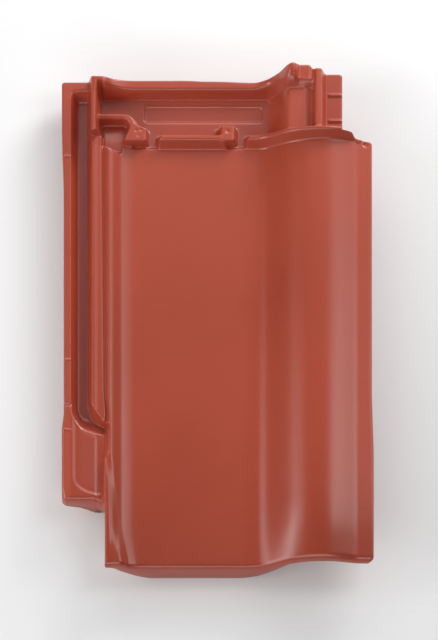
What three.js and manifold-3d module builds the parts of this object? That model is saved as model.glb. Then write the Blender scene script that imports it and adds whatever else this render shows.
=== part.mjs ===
// Interlocking clay roof tile: flat pan, roll on the right, underlapping side lock on the left,
// double head lock across the top and two hanging nibs underneath. One pressed and fired piece.
// Millimetres. X runs across the roof, Y up the slope, Z out of the weather face.
// While it is modelled, x = 0 is the lock's outer edge, y = 0 the foot edge and z = 0 the plane
// that the foot, the lock rib and the nibs rest on.
import * as THREE from 'three';
import { mergeVertices } from 'three/addons/utils/BufferGeometryUtils.js';
import Module from 'manifold-3d';

const wasm = await Module();
wasm.setup();

// ---- Driving dimensions -------------------------------------------------------------------

// Plan
const COVER_WIDTH = 240;        // pitch of the tiles across the roof
const SIDE_LAP = 42;            // the cover edge reaches this far over the next tile's lock
const LENGTH = 470;             // foot edge to head edge, along the pan
const HEAD_LOCK_LENGTH = 63.5;  // front of the second head rib to the head edge
const ROLL_HEAD_REACH = 6.5;    // the roll's head edge lies this far behind the pan's
const FLANGE_HEAD_REACH = 2;    // and this far behind it beside the roll
const HEAD_EDGE_FALL = 1.6;     // the head edge falls back this much towards the roll
const LOCK_HEAD_REACH = 1;      // and it stands out this much at the lock
const HEAD_CUT_WIDTH = 28.5;    // corner cut away at the head, on the cover side
const FOOT_CUT_WIDTH = 38.8;    // corner cut away at the foot, below the side lock
const FOOT_CUT_LENGTH = 64.6;
const CORNER_R = 5;             // plan corners
const EDGE_FLARE = 1.7;         // both long edges stand out this much more at the foot
const COVER_FLARE_Y = [95, 165];
const RIB_END_REACH = 5;        // right rib's end behind the body's head corner

// Section of the body
const WALL = 12.5;
const PAN_TOP = 27;             // weather face of the pan over the resting plane
const SHOULDER_RISE = 10;       // left shoulder over the pan
const SHOULDER_X = 43;
const SHOULDER_FLANK = 23;      // from the shoulder down to the pan
const ROLL_FLANK = 68;          // from the pan up to the roll's crest
const ROLL_RISE = 33;           // roll crest over the pan
const COVER_EDGE_RISE = 24;     // right edge over the pan

// Foot
const FOOT_ROUND = 4;           // radius from the weather face into the front face
const FOOT_DROP = 4;            // the roll's crest comes down by this much at the foot
const FOOT_DROP_LENGTH = 52;
const NOSE_LENGTH = 14;         // thick foot, measured up the slope
const NOSE_RUN_OUT = 12;        // from the nose back to the plain wall
const ROLL_FOOT_WALL = 15;      // height of the foot's front face on the roll crest
const EDGE_FOOT_WALL = 12;      // and at the cover edge
const SHOULDER_FOOT_WALL = 11.3;

// Side lock
const LOCK_TOP = 32;            // crest of the outer rib
const LOCK_FLOOR = 20;          // gutter floor
const OUTER_RIB_WIDTH = 8.5;
const OUTER_RIB_R = 2;
const GUTTER_FLOOR_WIDTH = 12.2;
const GUTTER_DRAFT = 4;         // run of each gutter wall
const LOCK_HEAD_BAND = 8.8;     // closed end of the gutter
const OUTLET_Y = 133;           // the gutter turns out towards the body here
const OUTLET_WIDTH = 7;
const OUTLET_RISE = 10;         // its floor climbs this much to the body
const OUTLET_SLANT = 2.5;       // its head side comes down this much towards the body
const LOCK_UNDERSIDE = 11.5;
const LOCK_EDGE_LIFT = 5.5;     // underside at the outer edge, over the rest of it
const LOCK_RIB_X = 33;          // long rib below the joint of lock and body
const LOCK_RIB_WIDTH = 8;
const LOCK_RIB_CLEAR = 110;     // it stops this far short of the head, clear of the batten
const INNER_RIB_WIDTH = 5.2;    // across its top, at the head
const INNER_RIB_SPREAD = 4.8;   // it widens this much to the foot
const INNER_RIB_TOP = 34;
const HIGH_RIB_TOP = 47;        // the inner rib is higher beside the head lock
const HIGH_RIB_START = 11.5;    // from this far behind the front of the second rib
const VALLEY_TOP = 31;          // narrow valley between inner rib and body
const VALLEY_WIDTH = 1.5;
const VALLEY_WALL_RUN = 3;
const PAD_TOP = 29;             // panel below the outlet
const PAD_MARGIN = 8;
const PAD_WALL_X = 34.5;        // foot of the wall between panel and body
const NOTCH_Y = 157.5;          // gauge notch across the outer rib
const NOTCH_DEPTH = 1.2;
const NOTCH_WIDTH = 1.6;

// Shallow channel from the valley down the shoulder to the foot
const CHANNEL_X = [38.2, 42];   // at its upper end
const CHANNEL_END_X = [43.3, 52.4];
const CHANNEL_END_Y = 13;
const CHANNEL_DEPTH = [0.5, 5]; // at the foot, at the valley

// Head lock
const HEAD_FLOOR = 24;          // floor between the two head ribs
const HEAD_RIB_RISE = 13.5;
const HEAD_RIB_TOP_WIDTH = 6.5;
const HEAD_RIB_ROLL_WIDTH = 10; // at its highest point
const HEAD_SADDLE_WIDTH = 12.5;
const HEAD_CORNER_WIDTH = 3.8;
const HEAD_RIB_SLOPE = 7.2;     // run of its front face
const HEAD_CORNER_TOP = 50;     // raised left end of the head rib
const HEAD_CORNER_R = 3;
const HEAD_CREST_TOP = 66;      // head rib on the roll
const HEAD_SADDLE_TOP = 60.5;
const HEAD_ROLL_FLOOR = 54;
const HEAD_ROLL_LEFT = 55;      // foot of the roll's flank there, left of the crest
const HEAD_ROLL_TOP = 34.5;     // and its top
const SIDE_GROOVE = 15.4;       // groove's left wall, left of the crest
const SIDE_GROOVE_FLOOR = 49;
const SIDE_RIB = 11;            // side rib's left face, left of the crest
const SIDE_RIB_WIDTH = 7.5;
const SIDE_RIB_TOP = 64;
const SHELF_TOP = 47.5;         // cover flange beside the roll at the head
const TICK_FROM_HEAD = [18, 43]; // small cross ridges on that flange
const TICK_HEIGHT = 1.5;
const TICK_WIDTH = 2;

// Second head rib. Its y sizes count from its own front.
const SECOND_RIB_RISE = 10;
const SECOND_RIB_FRONT_RUN = 6.3;
const SECOND_RIB_TOP_WIDTH = 4;
const SECOND_RIB_ROLL_WIDTH = 2.6;
const SECOND_RIB_BACK_RUN = 2.5;
const SECOND_RIB_END_RUN = 2.5;
const SECOND_RIB_BOW = 1.8;     // it runs this much nearer the foot on the roll
const LEFT_BOSS_REACH = 10;     // left boss's left side, left of the pan
const LEFT_BOSS_SIZE = [21.5, 17.5];
const RIGHT_BOSS_REACH = 15.5;  // right boss's right side, left of the roll
const RIGHT_BOSS_SIZE = [13, 17];
const BOSS_FRONT = 3;
const RIB_GAP = 9.5;            // gap between the left boss and the middle rib
const RIGHT_RIB_GAP = 10;       // and between the right boss and the right rib
const RIGHT_RIB_END = 24;       // right rib's end, right of the crest
const BOSS_DIMPLE_R = 2.6;
const BOSS_DIMPLE_DEPTH = 1.5;
const LEFT_RIB_Y = 24.5;
const LEFT_RIB_WIDTH = 6;
const LEFT_RIB_NECK = 5;
const POCKET_RUN = 5;           // pocket beside the left boss, where the shoulder ends
const POCKET_DRAFT = 2;

// Plaque
const PLAQUE_MARGIN = [8.5, 4]; // from the pan's left side, and from the roll
const PLAQUE_FROM_HEAD = [21, 35.5];
const PLAQUE_R = 2.5;
const PLAQUE_DEPTH = 1.2;

// Underside
const NIB_WIDTH = 34;
const NIB_THICKNESS = 13;
const NIB_INSET = [16, 12];     // nib centres in from the pan's left and right sides
const NIB_FROM_HEAD = 32;       // face that bears on the batten
const COVER_RIB_WIDTH = 6;
const COVER_RIB_GAP = 4;        // tip of the cover rib to the neighbour's gutter floor
const COVER_RIB_START = 165;
const CREST_RIB = 8;            // second cover rib, left of the crest
const CREST_RIB_TIP = 36;

const DRAFT = 1.5;              // taper of pressed details
const CURVE_STEPS = 4;          // facets between two points of a curved section

// ---- Positions that follow from them -------------------------------------------------------

const width = COVER_WIDTH + SIDE_LAP;
const crestX = COVER_WIDTH;
const panLeft = SHOULDER_X + SHOULDER_FLANK;
const panRight = crestX - ROLL_FLANK;
const bodyLength = LENGTH - HEAD_LOCK_LENGTH;
const shoulderTop = PAN_TOP + SHOULDER_RISE;
const ribTop = PAN_TOP + SECOND_RIB_RISE;
const gutterLeft = OUTER_RIB_WIDTH + GUTTER_DRAFT;
const gutterRight = gutterLeft + GUTTER_FLOOR_WIDTH;
const innerRibLeft = gutterRight + GUTTER_DRAFT;
const innerRibRight = innerRibLeft + INNER_RIB_WIDTH;
const bodyLeft = innerRibRight + VALLEY_WIDTH;
const headRollLeft = crestX - HEAD_ROLL_LEFT;
const headRollTop = crestX - HEAD_ROLL_TOP;
const grooveX = crestX - SIDE_GROOVE;
const sideRibX = crestX - SIDE_RIB;
const sideRibEnd = sideRibX + SIDE_RIB_WIDTH;
const shelfEnd = width - HEAD_CUT_WIDTH;
const plaqueX = [panLeft + PLAQUE_MARGIN[0], headRollLeft - PLAQUE_MARGIN[1]];
const nibX = [panLeft + NIB_INSET[0], panRight - NIB_INSET[1]];

// A boss from its left side, its size across and up the slope.
const bossAt = (left, [sizeX, sizeY]) => ({ x: [left, left + sizeX], y: [BOSS_FRONT, BOSS_FRONT + sizeY] });
const leftBossPlan = bossAt(panLeft - LEFT_BOSS_REACH, LEFT_BOSS_SIZE);
const rightBossPlan = bossAt(panRight - RIGHT_BOSS_REACH - RIGHT_BOSS_SIZE[0], RIGHT_BOSS_SIZE);
const middleRibX = [leftBossPlan.x[1] + RIB_GAP, rightBossPlan.x[1] - 0.5];
const rightRibX = [rightBossPlan.x[1] + RIGHT_RIB_GAP, crestX + RIGHT_RIB_END];

// ---- Helpers --------------------------------------------------------------------------------

function toSolid(geometry) {
  geometry.deleteAttribute('normal');
  geometry.deleteAttribute('uv');
  const merged = mergeVertices(geometry, 1e-4);
  return new wasm.Manifold(new wasm.Mesh({
    numProp: 3,
    vertProperties: new Float32Array(merged.attributes.position.array),
    triVerts: new Uint32Array(merged.index.array),
  }));
}

// Smooth section line through the given [x, z] points, with no overshoot on its level stretches.
function sectionLine(points) {
  const x = points.map((p) => p[0]);
  const z = points.map((p) => p[1]);
  const last = x.length - 1;
  const slope = x.slice(0, last).map((_, i) => (z[i + 1] - z[i]) / (x[i + 1] - x[i]));
  const tangent = x.map((_, i) => {
    if (i === 0 || i === last) return slope[Math.min(i, last - 1)];
    const product = slope[i - 1] * slope[i];
    return product <= 0 ? 0 : (2 * product) / (slope[i - 1] + slope[i]);
  });
  return (at) => {
    if (at <= x[0]) return z[0];
    if (at >= x[last]) return z[last];
    let i = 0;
    while (x[i + 1] < at) i += 1;
    const span = x[i + 1] - x[i];
    const t = (at - x[i]) / span;
    const a = (1 + 2 * t) * (1 - t) * (1 - t);
    const b = t * (1 - t) * (1 - t);
    const c = t * t * (3 - 2 * t);
    const d = t * t * (t - 1);
    return a * z[i] + b * span * tangent[i] + c * z[i + 1] + d * span * tangent[i + 1];
  };
}

// Places to cut a surface into facets: the section's own points, with steps between the close ones.
function stations(points, steps = CURVE_STEPS, flat = 40) {
  const out = [];
  for (let i = 0; i + 1 < points.length; i += 1) {
    const [from, to] = [points[i][0], points[i + 1][0]];
    const level = Math.abs(points[i][1] - points[i + 1][1]) < 1e-6 && to - from > flat;
    const count = level ? 1 : steps;
    for (let k = 0; k < count; k += 1) out.push(from + ((to - from) * k) / count);
  }
  out.push(points[points.length - 1][0]);
  return out;
}

// Closed solid between two surfaces, as clay lies between two mould halves. Each row is the y of
// one line of the grid, as a number or as a function of x; a surface is z from x, y and the row.
function pressed(xs, rows, top, bottom) {
  const position = [];
  const index = [];
  const nx = xs.length;
  const ny = rows.length;
  const layer = nx * ny;
  const rowY = (row, x) => (typeof row === 'function' ? row(x) : row);
  for (const surface of [top, bottom]) {
    for (const row of rows) {
      for (const x of xs) position.push(x, rowY(row, x), surface(x, rowY(row, x), rows.indexOf(row)));
    }
  }
  const quad = (a, b, c, d) => index.push(a, b, c, a, c, d);
  for (let j = 0; j + 1 < ny; j += 1) {
    for (let i = 0; i + 1 < nx; i += 1) {
      const a = j * nx + i;
      quad(a, a + 1, a + nx + 1, a + nx);
      quad(layer + a, layer + a + nx, layer + a + nx + 1, layer + a + 1);
    }
  }
  for (let i = 0; i + 1 < nx; i += 1) {
    const far = (ny - 1) * nx + i;
    quad(layer + i, layer + i + 1, i + 1, i);
    quad(far, far + 1, layer + far + 1, layer + far);
  }
  for (let j = 0; j + 1 < ny; j += 1) {
    const left = j * nx;
    const right = left + nx - 1;
    quad(layer + left + nx, layer + left, left, left + nx);
    quad(layer + right, layer + right + nx, right + nx, right);
  }
  const geometry = new THREE.BufferGeometry();
  geometry.setAttribute('position', new THREE.Float32BufferAttribute(position, 3));
  geometry.setIndex(index);
  return toSolid(geometry);
}

// Plan shape raised from z0 to z1, with its sides tapering in by `taper` towards the top.
function raised(shape, z0, z1, taper = 0) {
  const bevel = { bevelEnabled: taper > 0, bevelThickness: z1 - z0, bevelSize: taper,
    bevelOffset: -taper, bevelSegments: 1 };
  const depth = taper > 0 ? 1 : z1 - z0;
  const geometry = new THREE.ExtrudeGeometry(shape, { depth, curveSegments: 6, ...bevel });
  geometry.translate(0, 0, taper > 0 ? z0 - depth : z0);
  return toSolid(geometry).trimByPlane([0, 0, 1], z0);
}

// Cutter for a pocket: the plan shape at floor height z0, its sides opening out by `draft` up to z1.
function pocketCutter(shape, z0, z1, draft, clear = 25) {
  const geometry = new THREE.ExtrudeGeometry(shape, { depth: clear, curveSegments: 8,
    bevelEnabled: true, bevelThickness: z1 - z0, bevelSize: draft, bevelOffset: 0, bevelSegments: 1 });
  geometry.translate(0, 0, z1);
  return toSolid(geometry);
}

// Section in Y and Z carried across the tile from x0 to x1.
function across(section, x0, x1) {
  const geometry = new THREE.ExtrudeGeometry(section, { depth: x1 - x0, bevelEnabled: false });
  geometry.rotateX(Math.PI / 2);
  geometry.rotateZ(Math.PI / 2);
  geometry.translate(x0, 0, 0);
  return toSolid(geometry);
}

// Section in X and Z carried up the slope from y0 to y1.
function alongSlope(section, y0, y1) {
  const geometry = new THREE.ExtrudeGeometry(section, { depth: y1 - y0, bevelEnabled: false });
  geometry.rotateX(Math.PI / 2);
  geometry.translate(0, y1, 0);
  return toSolid(geometry);
}

function polygon(points) {
  return new THREE.Shape(points.map(([a, b]) => new THREE.Vector2(a, b)));
}

function merge(...lists) {
  return [...new Set(lists.flat())].sort((a, b) => a - b);
}

function roundedRectangle([x0, x1], [y0, y1], r) {
  const shape = new THREE.Shape();
  shape.moveTo(x0 + r, y0);
  shape.lineTo(x1 - r, y0).absarc(x1 - r, y0 + r, r, -Math.PI / 2, 0, false);
  shape.lineTo(x1, y1 - r).absarc(x1 - r, y1 - r, r, 0, Math.PI / 2, false);
  shape.lineTo(x0 + r, y1).absarc(x0 + r, y1 - r, r, Math.PI / 2, Math.PI, false);
  shape.lineTo(x0, y0 + r).absarc(x0 + r, y0 + r, r, Math.PI, 1.5 * Math.PI, false);
  return shape;
}

// ---- Section lines ----------------------------------------------------------------------------

const rollShare = (share) => PAN_TOP + ROLL_RISE * share;
const edgeTop = PAN_TOP + COVER_EDGE_RISE;
const coverShare = (share) => THREE.MathUtils.lerp(edgeTop, rollShare(1), share);

const bodyPoints = [
  [bodyLeft, shoulderTop - 1],
  [SHOULDER_X, shoulderTop],
  [SHOULDER_X + 0.07 * SHOULDER_FLANK, PAN_TOP + 0.92 * SHOULDER_RISE],
  [SHOULDER_X + 0.55 * SHOULDER_FLANK, PAN_TOP + 0.26 * SHOULDER_RISE],
  [SHOULDER_X + 0.76 * SHOULDER_FLANK, PAN_TOP + 0.09 * SHOULDER_RISE],
  [panLeft, PAN_TOP],
  [panRight, PAN_TOP],
  [crestX - 0.84 * ROLL_FLANK, rollShare(0.06)],
  [crestX - 0.67 * ROLL_FLANK, rollShare(0.375)],
  [crestX - 0.5 * ROLL_FLANK, rollShare(0.69)],
  [crestX - 0.33 * ROLL_FLANK, rollShare(0.88)],
  [crestX - 0.16 * ROLL_FLANK, rollShare(0.975)],
  [crestX, rollShare(1)],
  [crestX + 0.33 * SIDE_LAP, coverShare(0.77)],
  [crestX + 0.48 * SIDE_LAP, coverShare(0.5)],
  [crestX + 0.61 * SIDE_LAP, coverShare(0.17)],
  [crestX + 0.64 * SIDE_LAP, coverShare(0.07)],
  [width, edgeTop],
];
const bodyTop = sectionLine(bodyPoints);

// Height of the foot's front face across the tile: the whole pan height, less on roll and edges.
const shoulderFoot = (share) => THREE.MathUtils.lerp(SHOULDER_FOOT_WALL, PAN_TOP, share);
const rollFoot = (share) => THREE.MathUtils.lerp(ROLL_FOOT_WALL, PAN_TOP, share);
const footWallPoints = [
  [bodyLeft, SHOULDER_FOOT_WALL],
  [SHOULDER_X + 0.15 * SHOULDER_FLANK, SHOULDER_FOOT_WALL],
  [SHOULDER_X + 0.55 * SHOULDER_FLANK, shoulderFoot(0.15)],
  [panLeft, shoulderFoot(0.56)],
  [panLeft + 0.33 * SHOULDER_FLANK, shoulderFoot(0.86)],
  [panLeft + 0.65 * SHOULDER_FLANK, PAN_TOP],
  [panRight - 0.2 * ROLL_FLANK, PAN_TOP],
  [panRight + 0.05 * ROLL_FLANK, rollFoot(0.72)],
  [crestX - 0.84 * ROLL_FLANK, rollFoot(0.45)],
  [crestX - 0.67 * ROLL_FLANK, rollFoot(0.33)],
  [crestX - 0.3 * ROLL_FLANK, rollFoot(0.2)],
  [crestX, ROLL_FOOT_WALL],
  [crestX + 0.61 * SIDE_LAP, ROLL_FOOT_WALL],
  [width, EDGE_FOOT_WALL],
];
const footWall = sectionLine(footWallPoints);

// How far the head edge stands behind the foot edge.
const headEdge = sectionLine([
  [0, LENGTH + 0.2 * LOCK_HEAD_REACH],
  [FOOT_CUT_WIDTH, LENGTH + LOCK_HEAD_REACH],
  [panLeft, LENGTH],
  [headRollLeft - 12, LENGTH - HEAD_EDGE_FALL],
  [(headRollLeft + headRollTop) / 2, LENGTH + 0.3 * ROLL_HEAD_REACH],
  [headRollTop + 4, LENGTH + ROLL_HEAD_REACH],
  [sideRibX - 4, LENGTH + ROLL_HEAD_REACH],
  [sideRibX, LENGTH + FLANGE_HEAD_REACH],
  [shelfEnd, LENGTH + FLANGE_HEAD_REACH],
]);

const headRoll = HEAD_ROLL_FLOOR - HEAD_FLOOR;
const headPoints = [
  [innerRibLeft - 1.5, HEAD_FLOOR],
  [headRollLeft, HEAD_FLOOR],
  [headRollLeft + 3, HEAD_FLOOR + 0.08 * headRoll],
  [headRollTop - 3, HEAD_ROLL_FLOOR - 0.1 * headRoll],
  [headRollTop, HEAD_ROLL_FLOOR],
  [grooveX - 1, HEAD_ROLL_FLOOR],
  [grooveX + 1, SIDE_GROOVE_FLOOR],
  [sideRibX - 1, SIDE_GROOVE_FLOOR],
  [sideRibX, SIDE_RIB_TOP - 1],
  [sideRibX + 1, SIDE_RIB_TOP],
  [sideRibEnd - 1, SIDE_RIB_TOP],
  [sideRibEnd, SIDE_RIB_TOP - 1],
  [sideRibEnd + 3, SHELF_TOP],
  [shelfEnd, SHELF_TOP],
];
const headFloor = sectionLine(headPoints);

const headRibPan = HEAD_FLOOR + HEAD_RIB_RISE;
const headCorner = (share) => THREE.MathUtils.lerp(headRibPan, HEAD_CORNER_TOP, share);
const headCrest = (share) => THREE.MathUtils.lerp(headRibPan, HEAD_CREST_TOP, share);
const headRibPoints = [
  [innerRibLeft - 1.5, HEAD_CORNER_TOP],
  [FOOT_CUT_WIDTH - 1, HEAD_CORNER_TOP],
  [FOOT_CUT_WIDTH + 10, headCorner(0.5)],
  [FOOT_CUT_WIDTH + 23, headRibPan],
  [headRollLeft - 12, headRibPan],
  [headRollLeft, headCrest(0.1)],
  [(headRollLeft + headRollTop) / 2, headCrest(0.38)],
  [headRollTop - 1, headCrest(0.83)],
  [headRollTop + 4, HEAD_CREST_TOP],
  [headRollTop + 8, HEAD_CREST_TOP - 1],
  [headRollTop + 11, HEAD_SADDLE_TOP],
  [sideRibX - 1, HEAD_SADDLE_TOP],
  [sideRibX, SIDE_RIB_TOP - 1],
  [sideRibX + 1, SIDE_RIB_TOP],
  [sideRibEnd - 1, SIDE_RIB_TOP],
  [sideRibEnd, SIDE_RIB_TOP - 1],
  [sideRibEnd + 3, SHELF_TOP],
  [shelfEnd, SHELF_TOP],
];
const headRib = sectionLine(headRibPoints);

const headRibWidth = sectionLine([
  [innerRibRight, HEAD_CORNER_WIDTH],
  [panLeft, HEAD_RIB_TOP_WIDTH],
  [headRollLeft - 12, HEAD_RIB_TOP_WIDTH],
  [headRollTop, HEAD_RIB_ROLL_WIDTH],
  [sideRibX - 4, HEAD_SADDLE_WIDTH],
]);

// Share of the roll's height at x, and the front of the second rib there.
const rollPart = (x) => THREE.MathUtils.clamp((bodyTop(x) - PAN_TOP) / ROLL_RISE, 0, 1);
const secondRibFront = (x) => bodyLength - SECOND_RIB_BOW * rollPart(x);
const secondRibCrest = (x) => secondRibFront(x) + SECOND_RIB_FRONT_RUN;

// ---- Parts of the one solid ---------------------------------------------------------------------

// Pan, shoulder and roll, with the rounded foot and the thick nose under it.
function body() {
  const foot = [0, 0.04, 0.15, 0.4, 1].map((share) => share * FOOT_ROUND);
  const head = (x) => secondRibCrest(x) + 1;
  const rows = [...foot, NOSE_LENGTH, NOSE_LENGTH + NOSE_RUN_OUT, 0.75 * FOOT_DROP_LENGTH,
    FOOT_DROP_LENGTH, head];
  const rounding = (y) => {
    const back = Math.max(FOOT_ROUND - y, 0);
    return FOOT_ROUND - Math.sqrt(FOOT_ROUND * FOOT_ROUND - back * back);
  };
  const drop = (x, y) => FOOT_DROP * rollPart(x) * Math.max(1 - y / FOOT_DROP_LENGTH, 0) ** 1.6;
  const nose = (y) => THREE.MathUtils.clamp((NOSE_LENGTH + NOSE_RUN_OUT - y) / NOSE_RUN_OUT, 0, 1);
  const bottom = (x, y) => bodyTop(x) - WALL + nose(y) * (WALL - footWall(x));
  const xs = merge(stations(bodyPoints), stations(footWallPoints, 2));
  return pressed(xs, rows, (x, y) => bodyTop(x) - rounding(y) - drop(x, y), bottom);
}

// Recessed head zone with its roll, side rib and flange, rising into the head rib.
function headZone() {
  const xs = merge(stations(headPoints, 2), stations(headRibPoints, 2), [panLeft - 2, panLeft + 2]);
  const start = (x) => (x < panLeft ? bodyLength - 3 * POCKET_RUN : secondRibCrest(x) + 0.5);
  const slopeStart = LENGTH - HEAD_RIB_TOP_WIDTH - HEAD_RIB_SLOPE;
  const crest = (x) => headEdge(x) - headRibWidth(x);
  const rows = [start, slopeStart, crest, LENGTH + ROLL_HEAD_REACH + 1];
  const top = (x, y, row) => (row < 2 ? headFloor(x) : headRib(x));
  const sole = (x) => Math.min(headFloor(x), headFloor(Math.min(x, grooveX - 1)));
  return pressed(xs, rows, top, (x) => sole(x) - WALL);
}

// Side lock before its gutter is cut: outer rib and lock floor, with the long rib under the joint.
function lockBlock() {
  const section = polygon([
    [0, LOCK_UNDERSIDE + LOCK_EDGE_LIFT],
    [gutterLeft + OUTER_RIB_R, LOCK_UNDERSIDE],
    [bodyLeft + 2, LOCK_UNDERSIDE],
    [bodyLeft + 2, HEAD_FLOOR - 2],
    [innerRibLeft + 1, HEAD_FLOOR - 2],
    [innerRibLeft + 1, LOCK_TOP],
    [OUTER_RIB_R, LOCK_TOP],
    [0.3 * OUTER_RIB_R, LOCK_TOP - 0.3 * OUTER_RIB_R],
    [0, LOCK_TOP - OUTER_RIB_R],
  ]);
  const joint = polygon([
    [innerRibLeft, LOCK_UNDERSIDE],
    [bodyLeft + 4, LOCK_UNDERSIDE],
    [SHOULDER_X + 8, shoulderTop - WALL + 1],
    [SHOULDER_X, VALLEY_TOP],
    [bodyLeft, VALLEY_TOP],
    [innerRibLeft + 1, LOCK_TOP],
    [innerRibLeft, LOCK_TOP - 1],
  ]);
  const rib = polygon([
    [LOCK_RIB_X - 1.8 * LOCK_RIB_WIDTH, LOCK_UNDERSIDE + 1],
    [LOCK_RIB_X - LOCK_RIB_WIDTH / 2, 0],
    [LOCK_RIB_X + LOCK_RIB_WIDTH / 2, 0],
    [LOCK_RIB_X + LOCK_RIB_WIDTH / 2 + 2 * DRAFT, LOCK_UNDERSIDE + 1],
  ]);
  return alongSlope(section, FOOT_CUT_LENGTH - 1, LENGTH + 1)
    .add(alongSlope(joint, FOOT_CUT_LENGTH - 1, bodyLength + 2))
    .add(alongSlope(rib, FOOT_CUT_LENGTH - 1, LENGTH - LOCK_RIB_CLEAR));
}

// Gutter: closed at the head, turning out towards the body at its foot end.
function gutter() {
  const near = OUTLET_Y - OUTLET_WIDTH / 2;
  const far = OUTLET_Y + OUTLET_WIDTH / 2;
  const head = LENGTH - LOCK_HEAD_BAND - GUTTER_DRAFT;
  const exit = bodyLeft + 2;
  const plan = new THREE.Shape();
  plan.moveTo(gutterLeft, head);
  plan.lineTo(gutterLeft, far + 2 * OUTLET_WIDTH);
  plan.quadraticCurveTo(gutterLeft + 2, near + 5, gutterRight, near + 3);
  plan.lineTo(exit, near);
  plan.lineTo(exit, far - OUTLET_SLANT);
  plan.quadraticCurveTo(gutterRight + OUTLET_SLANT, far + OUTLET_WIDTH, gutterRight, far + 3 * OUTLET_WIDTH);
  plan.lineTo(gutterRight, head);
  return pocketCutter(plan, LOCK_FLOOR, LOCK_TOP, GUTTER_DRAFT);
}

// Ramp that lifts the outlet's floor to the body.
function outletRamp() {
  const section = polygon([
    [gutterRight - 1, LOCK_FLOOR - 2],
    [bodyLeft + 6, LOCK_FLOOR - 2],
    [bodyLeft + 6, LOCK_FLOOR + OUTLET_RISE],
    [bodyLeft + 3, LOCK_FLOOR + OUTLET_RISE],
    [gutterRight - 1, LOCK_FLOOR],
  ]);
  return alongSlope(section, OUTLET_Y - 1.5 * OUTLET_WIDTH, OUTLET_Y + 2 * OUTLET_WIDTH);
}

// Inner rib between gutter and body, high beside the head lock, running out in a curved tip.
function innerRib() {
  const root = VALLEY_TOP - 1;
  const wallRun = GUTTER_DRAFT * (root - LOCK_FLOOR) / (LOCK_TOP - LOCK_FLOOR);
  const left = gutterRight + wallRun + 0.2;
  const right = innerRibRight + DRAFT;
  const tipY = OUTLET_Y + OUTLET_WIDTH / 2;
  const tipEnd = tipY + wallRun - OUTLET_SLANT;
  const plan = new THREE.Shape();
  plan.moveTo(left, LENGTH - 1);
  plan.lineTo(left, tipY + 3.4 * OUTLET_WIDTH);
  plan.quadraticCurveTo(left + OUTLET_SLANT, tipY + OUTLET_WIDTH + 1, right + INNER_RIB_SPREAD, tipEnd);
  plan.lineTo(right, LENGTH - 1);
  const base = polygon([
    [gutterRight + 0.3, LOCK_FLOOR - 1],
    [innerRibRight + 2.5, LOCK_FLOOR - 1],
    [innerRibRight + 2.5, root],
    [innerRibRight + 1.5, root + 1],
    [innerRibLeft, root + 1],
  ]);
  const high = polygon([
    [gutterRight - 0.5, LOCK_FLOOR - 1],
    [innerRibRight + 2.2, LOCK_FLOOR - 1],
    [innerRibRight + 1.7, root + 1],
    [innerRibRight - 2, HIGH_RIB_TOP],
    [innerRibLeft - 1.5, HIGH_RIB_TOP],
  ]);
  const highStart = bodyLength + HIGH_RIB_START;
  return raised(plan, root, INNER_RIB_TOP, DRAFT)
    .add(alongSlope(base, bodyLength - 2 * POCKET_RUN, highStart + 1))
    .add(alongSlope(high, highStart, LENGTH - 1));
}

// Everything above the lock's own level, left of the body's flank.
function lockClearance() {
  const foot = FOOT_CUT_LENGTH - 8;
  const plan = polygon([
    [-10, foot],
    [PAD_WALL_X, foot],
    [PAD_WALL_X, OUTLET_Y - OUTLET_WIDTH],
    [bodyLeft + INNER_RIB_SPREAD, OUTLET_Y + OUTLET_WIDTH],
    [bodyLeft, bodyLength],
    [-10, bodyLength],
  ]);
  return pocketCutter(plan, VALLEY_TOP, shoulderTop, VALLEY_WALL_RUN);
}

// Channel from the valley down the shoulder, growing wider and shallower to the foot.
function channel() {
  const start = OUTLET_Y + OUTLET_WIDTH / 2;
  const share = (y) => THREE.MathUtils.clamp((y - CHANNEL_END_Y) / (start - CHANNEL_END_Y), 0, 1);
  const depth = (y) => THREE.MathUtils.lerp(CHANNEL_DEPTH[0], CHANNEL_DEPTH[1], share(y));
  const [left, right] = CHANNEL_X;
  const [endLeft, endRight] = CHANNEL_END_X;
  const plan = polygon([
    [left, start],
    [endLeft - 0.6, start - 0.5 * (start - CHANNEL_END_Y)],
    [endLeft, start - 0.65 * (start - CHANNEL_END_Y)],
    [endLeft, CHANNEL_END_Y + 3],
    [endLeft + 2, CHANNEL_END_Y],
    [endRight - 2, CHANNEL_END_Y + 2],
    [endRight, CHANNEL_END_Y + 8],
    [endRight - 0.3 * (endRight - right), start - 0.58 * (start - CHANNEL_END_Y)],
    [right, start + 4],
  ]);
  const xs = stations(bodyPoints).filter((x) => x < panLeft);
  const surface = (offset) => (x, y) => bodyTop(x) + offset(y);
  return pressed(xs, [CHANNEL_END_Y - 4, start + 8], surface(() => 10), surface((y) => -depth(y)))
    .intersect(raised(plan, 0, 2 * shoulderTop));
}

// Second head rib: a straight piece across the pan, and one that follows the roll.
function secondRib([from, to]) {
  const topWidth = (x) => THREE.MathUtils.lerp(SECOND_RIB_TOP_WIDTH, SECOND_RIB_ROLL_WIDTH, rollPart(x));
  const crestEnd = (x) => secondRibCrest(x) + topWidth(x);
  const rows = [secondRibFront, secondRibCrest, crestEnd, (x) => crestEnd(x) + SECOND_RIB_BACK_RUN];
  const rise = [0, SECOND_RIB_RISE, SECOND_RIB_RISE, 0];
  const end = (x) => THREE.MathUtils.clamp(Math.min(x - from, to - x) / SECOND_RIB_END_RUN, 0, 1);
  const inside = (x) => x > from + SECOND_RIB_END_RUN + 1 && x < to - SECOND_RIB_END_RUN - 1;
  const xs = merge([from, from + SECOND_RIB_END_RUN, to - SECOND_RIB_END_RUN, to],
    stations(bodyPoints).filter(inside));
  return pressed(xs, rows, (x, y, row) => bodyTop(x) + rise[row] * end(x),
    (x) => Math.min(bodyTop(x) - WALL, headFloor(x) - 4) + 2);
}

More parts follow.
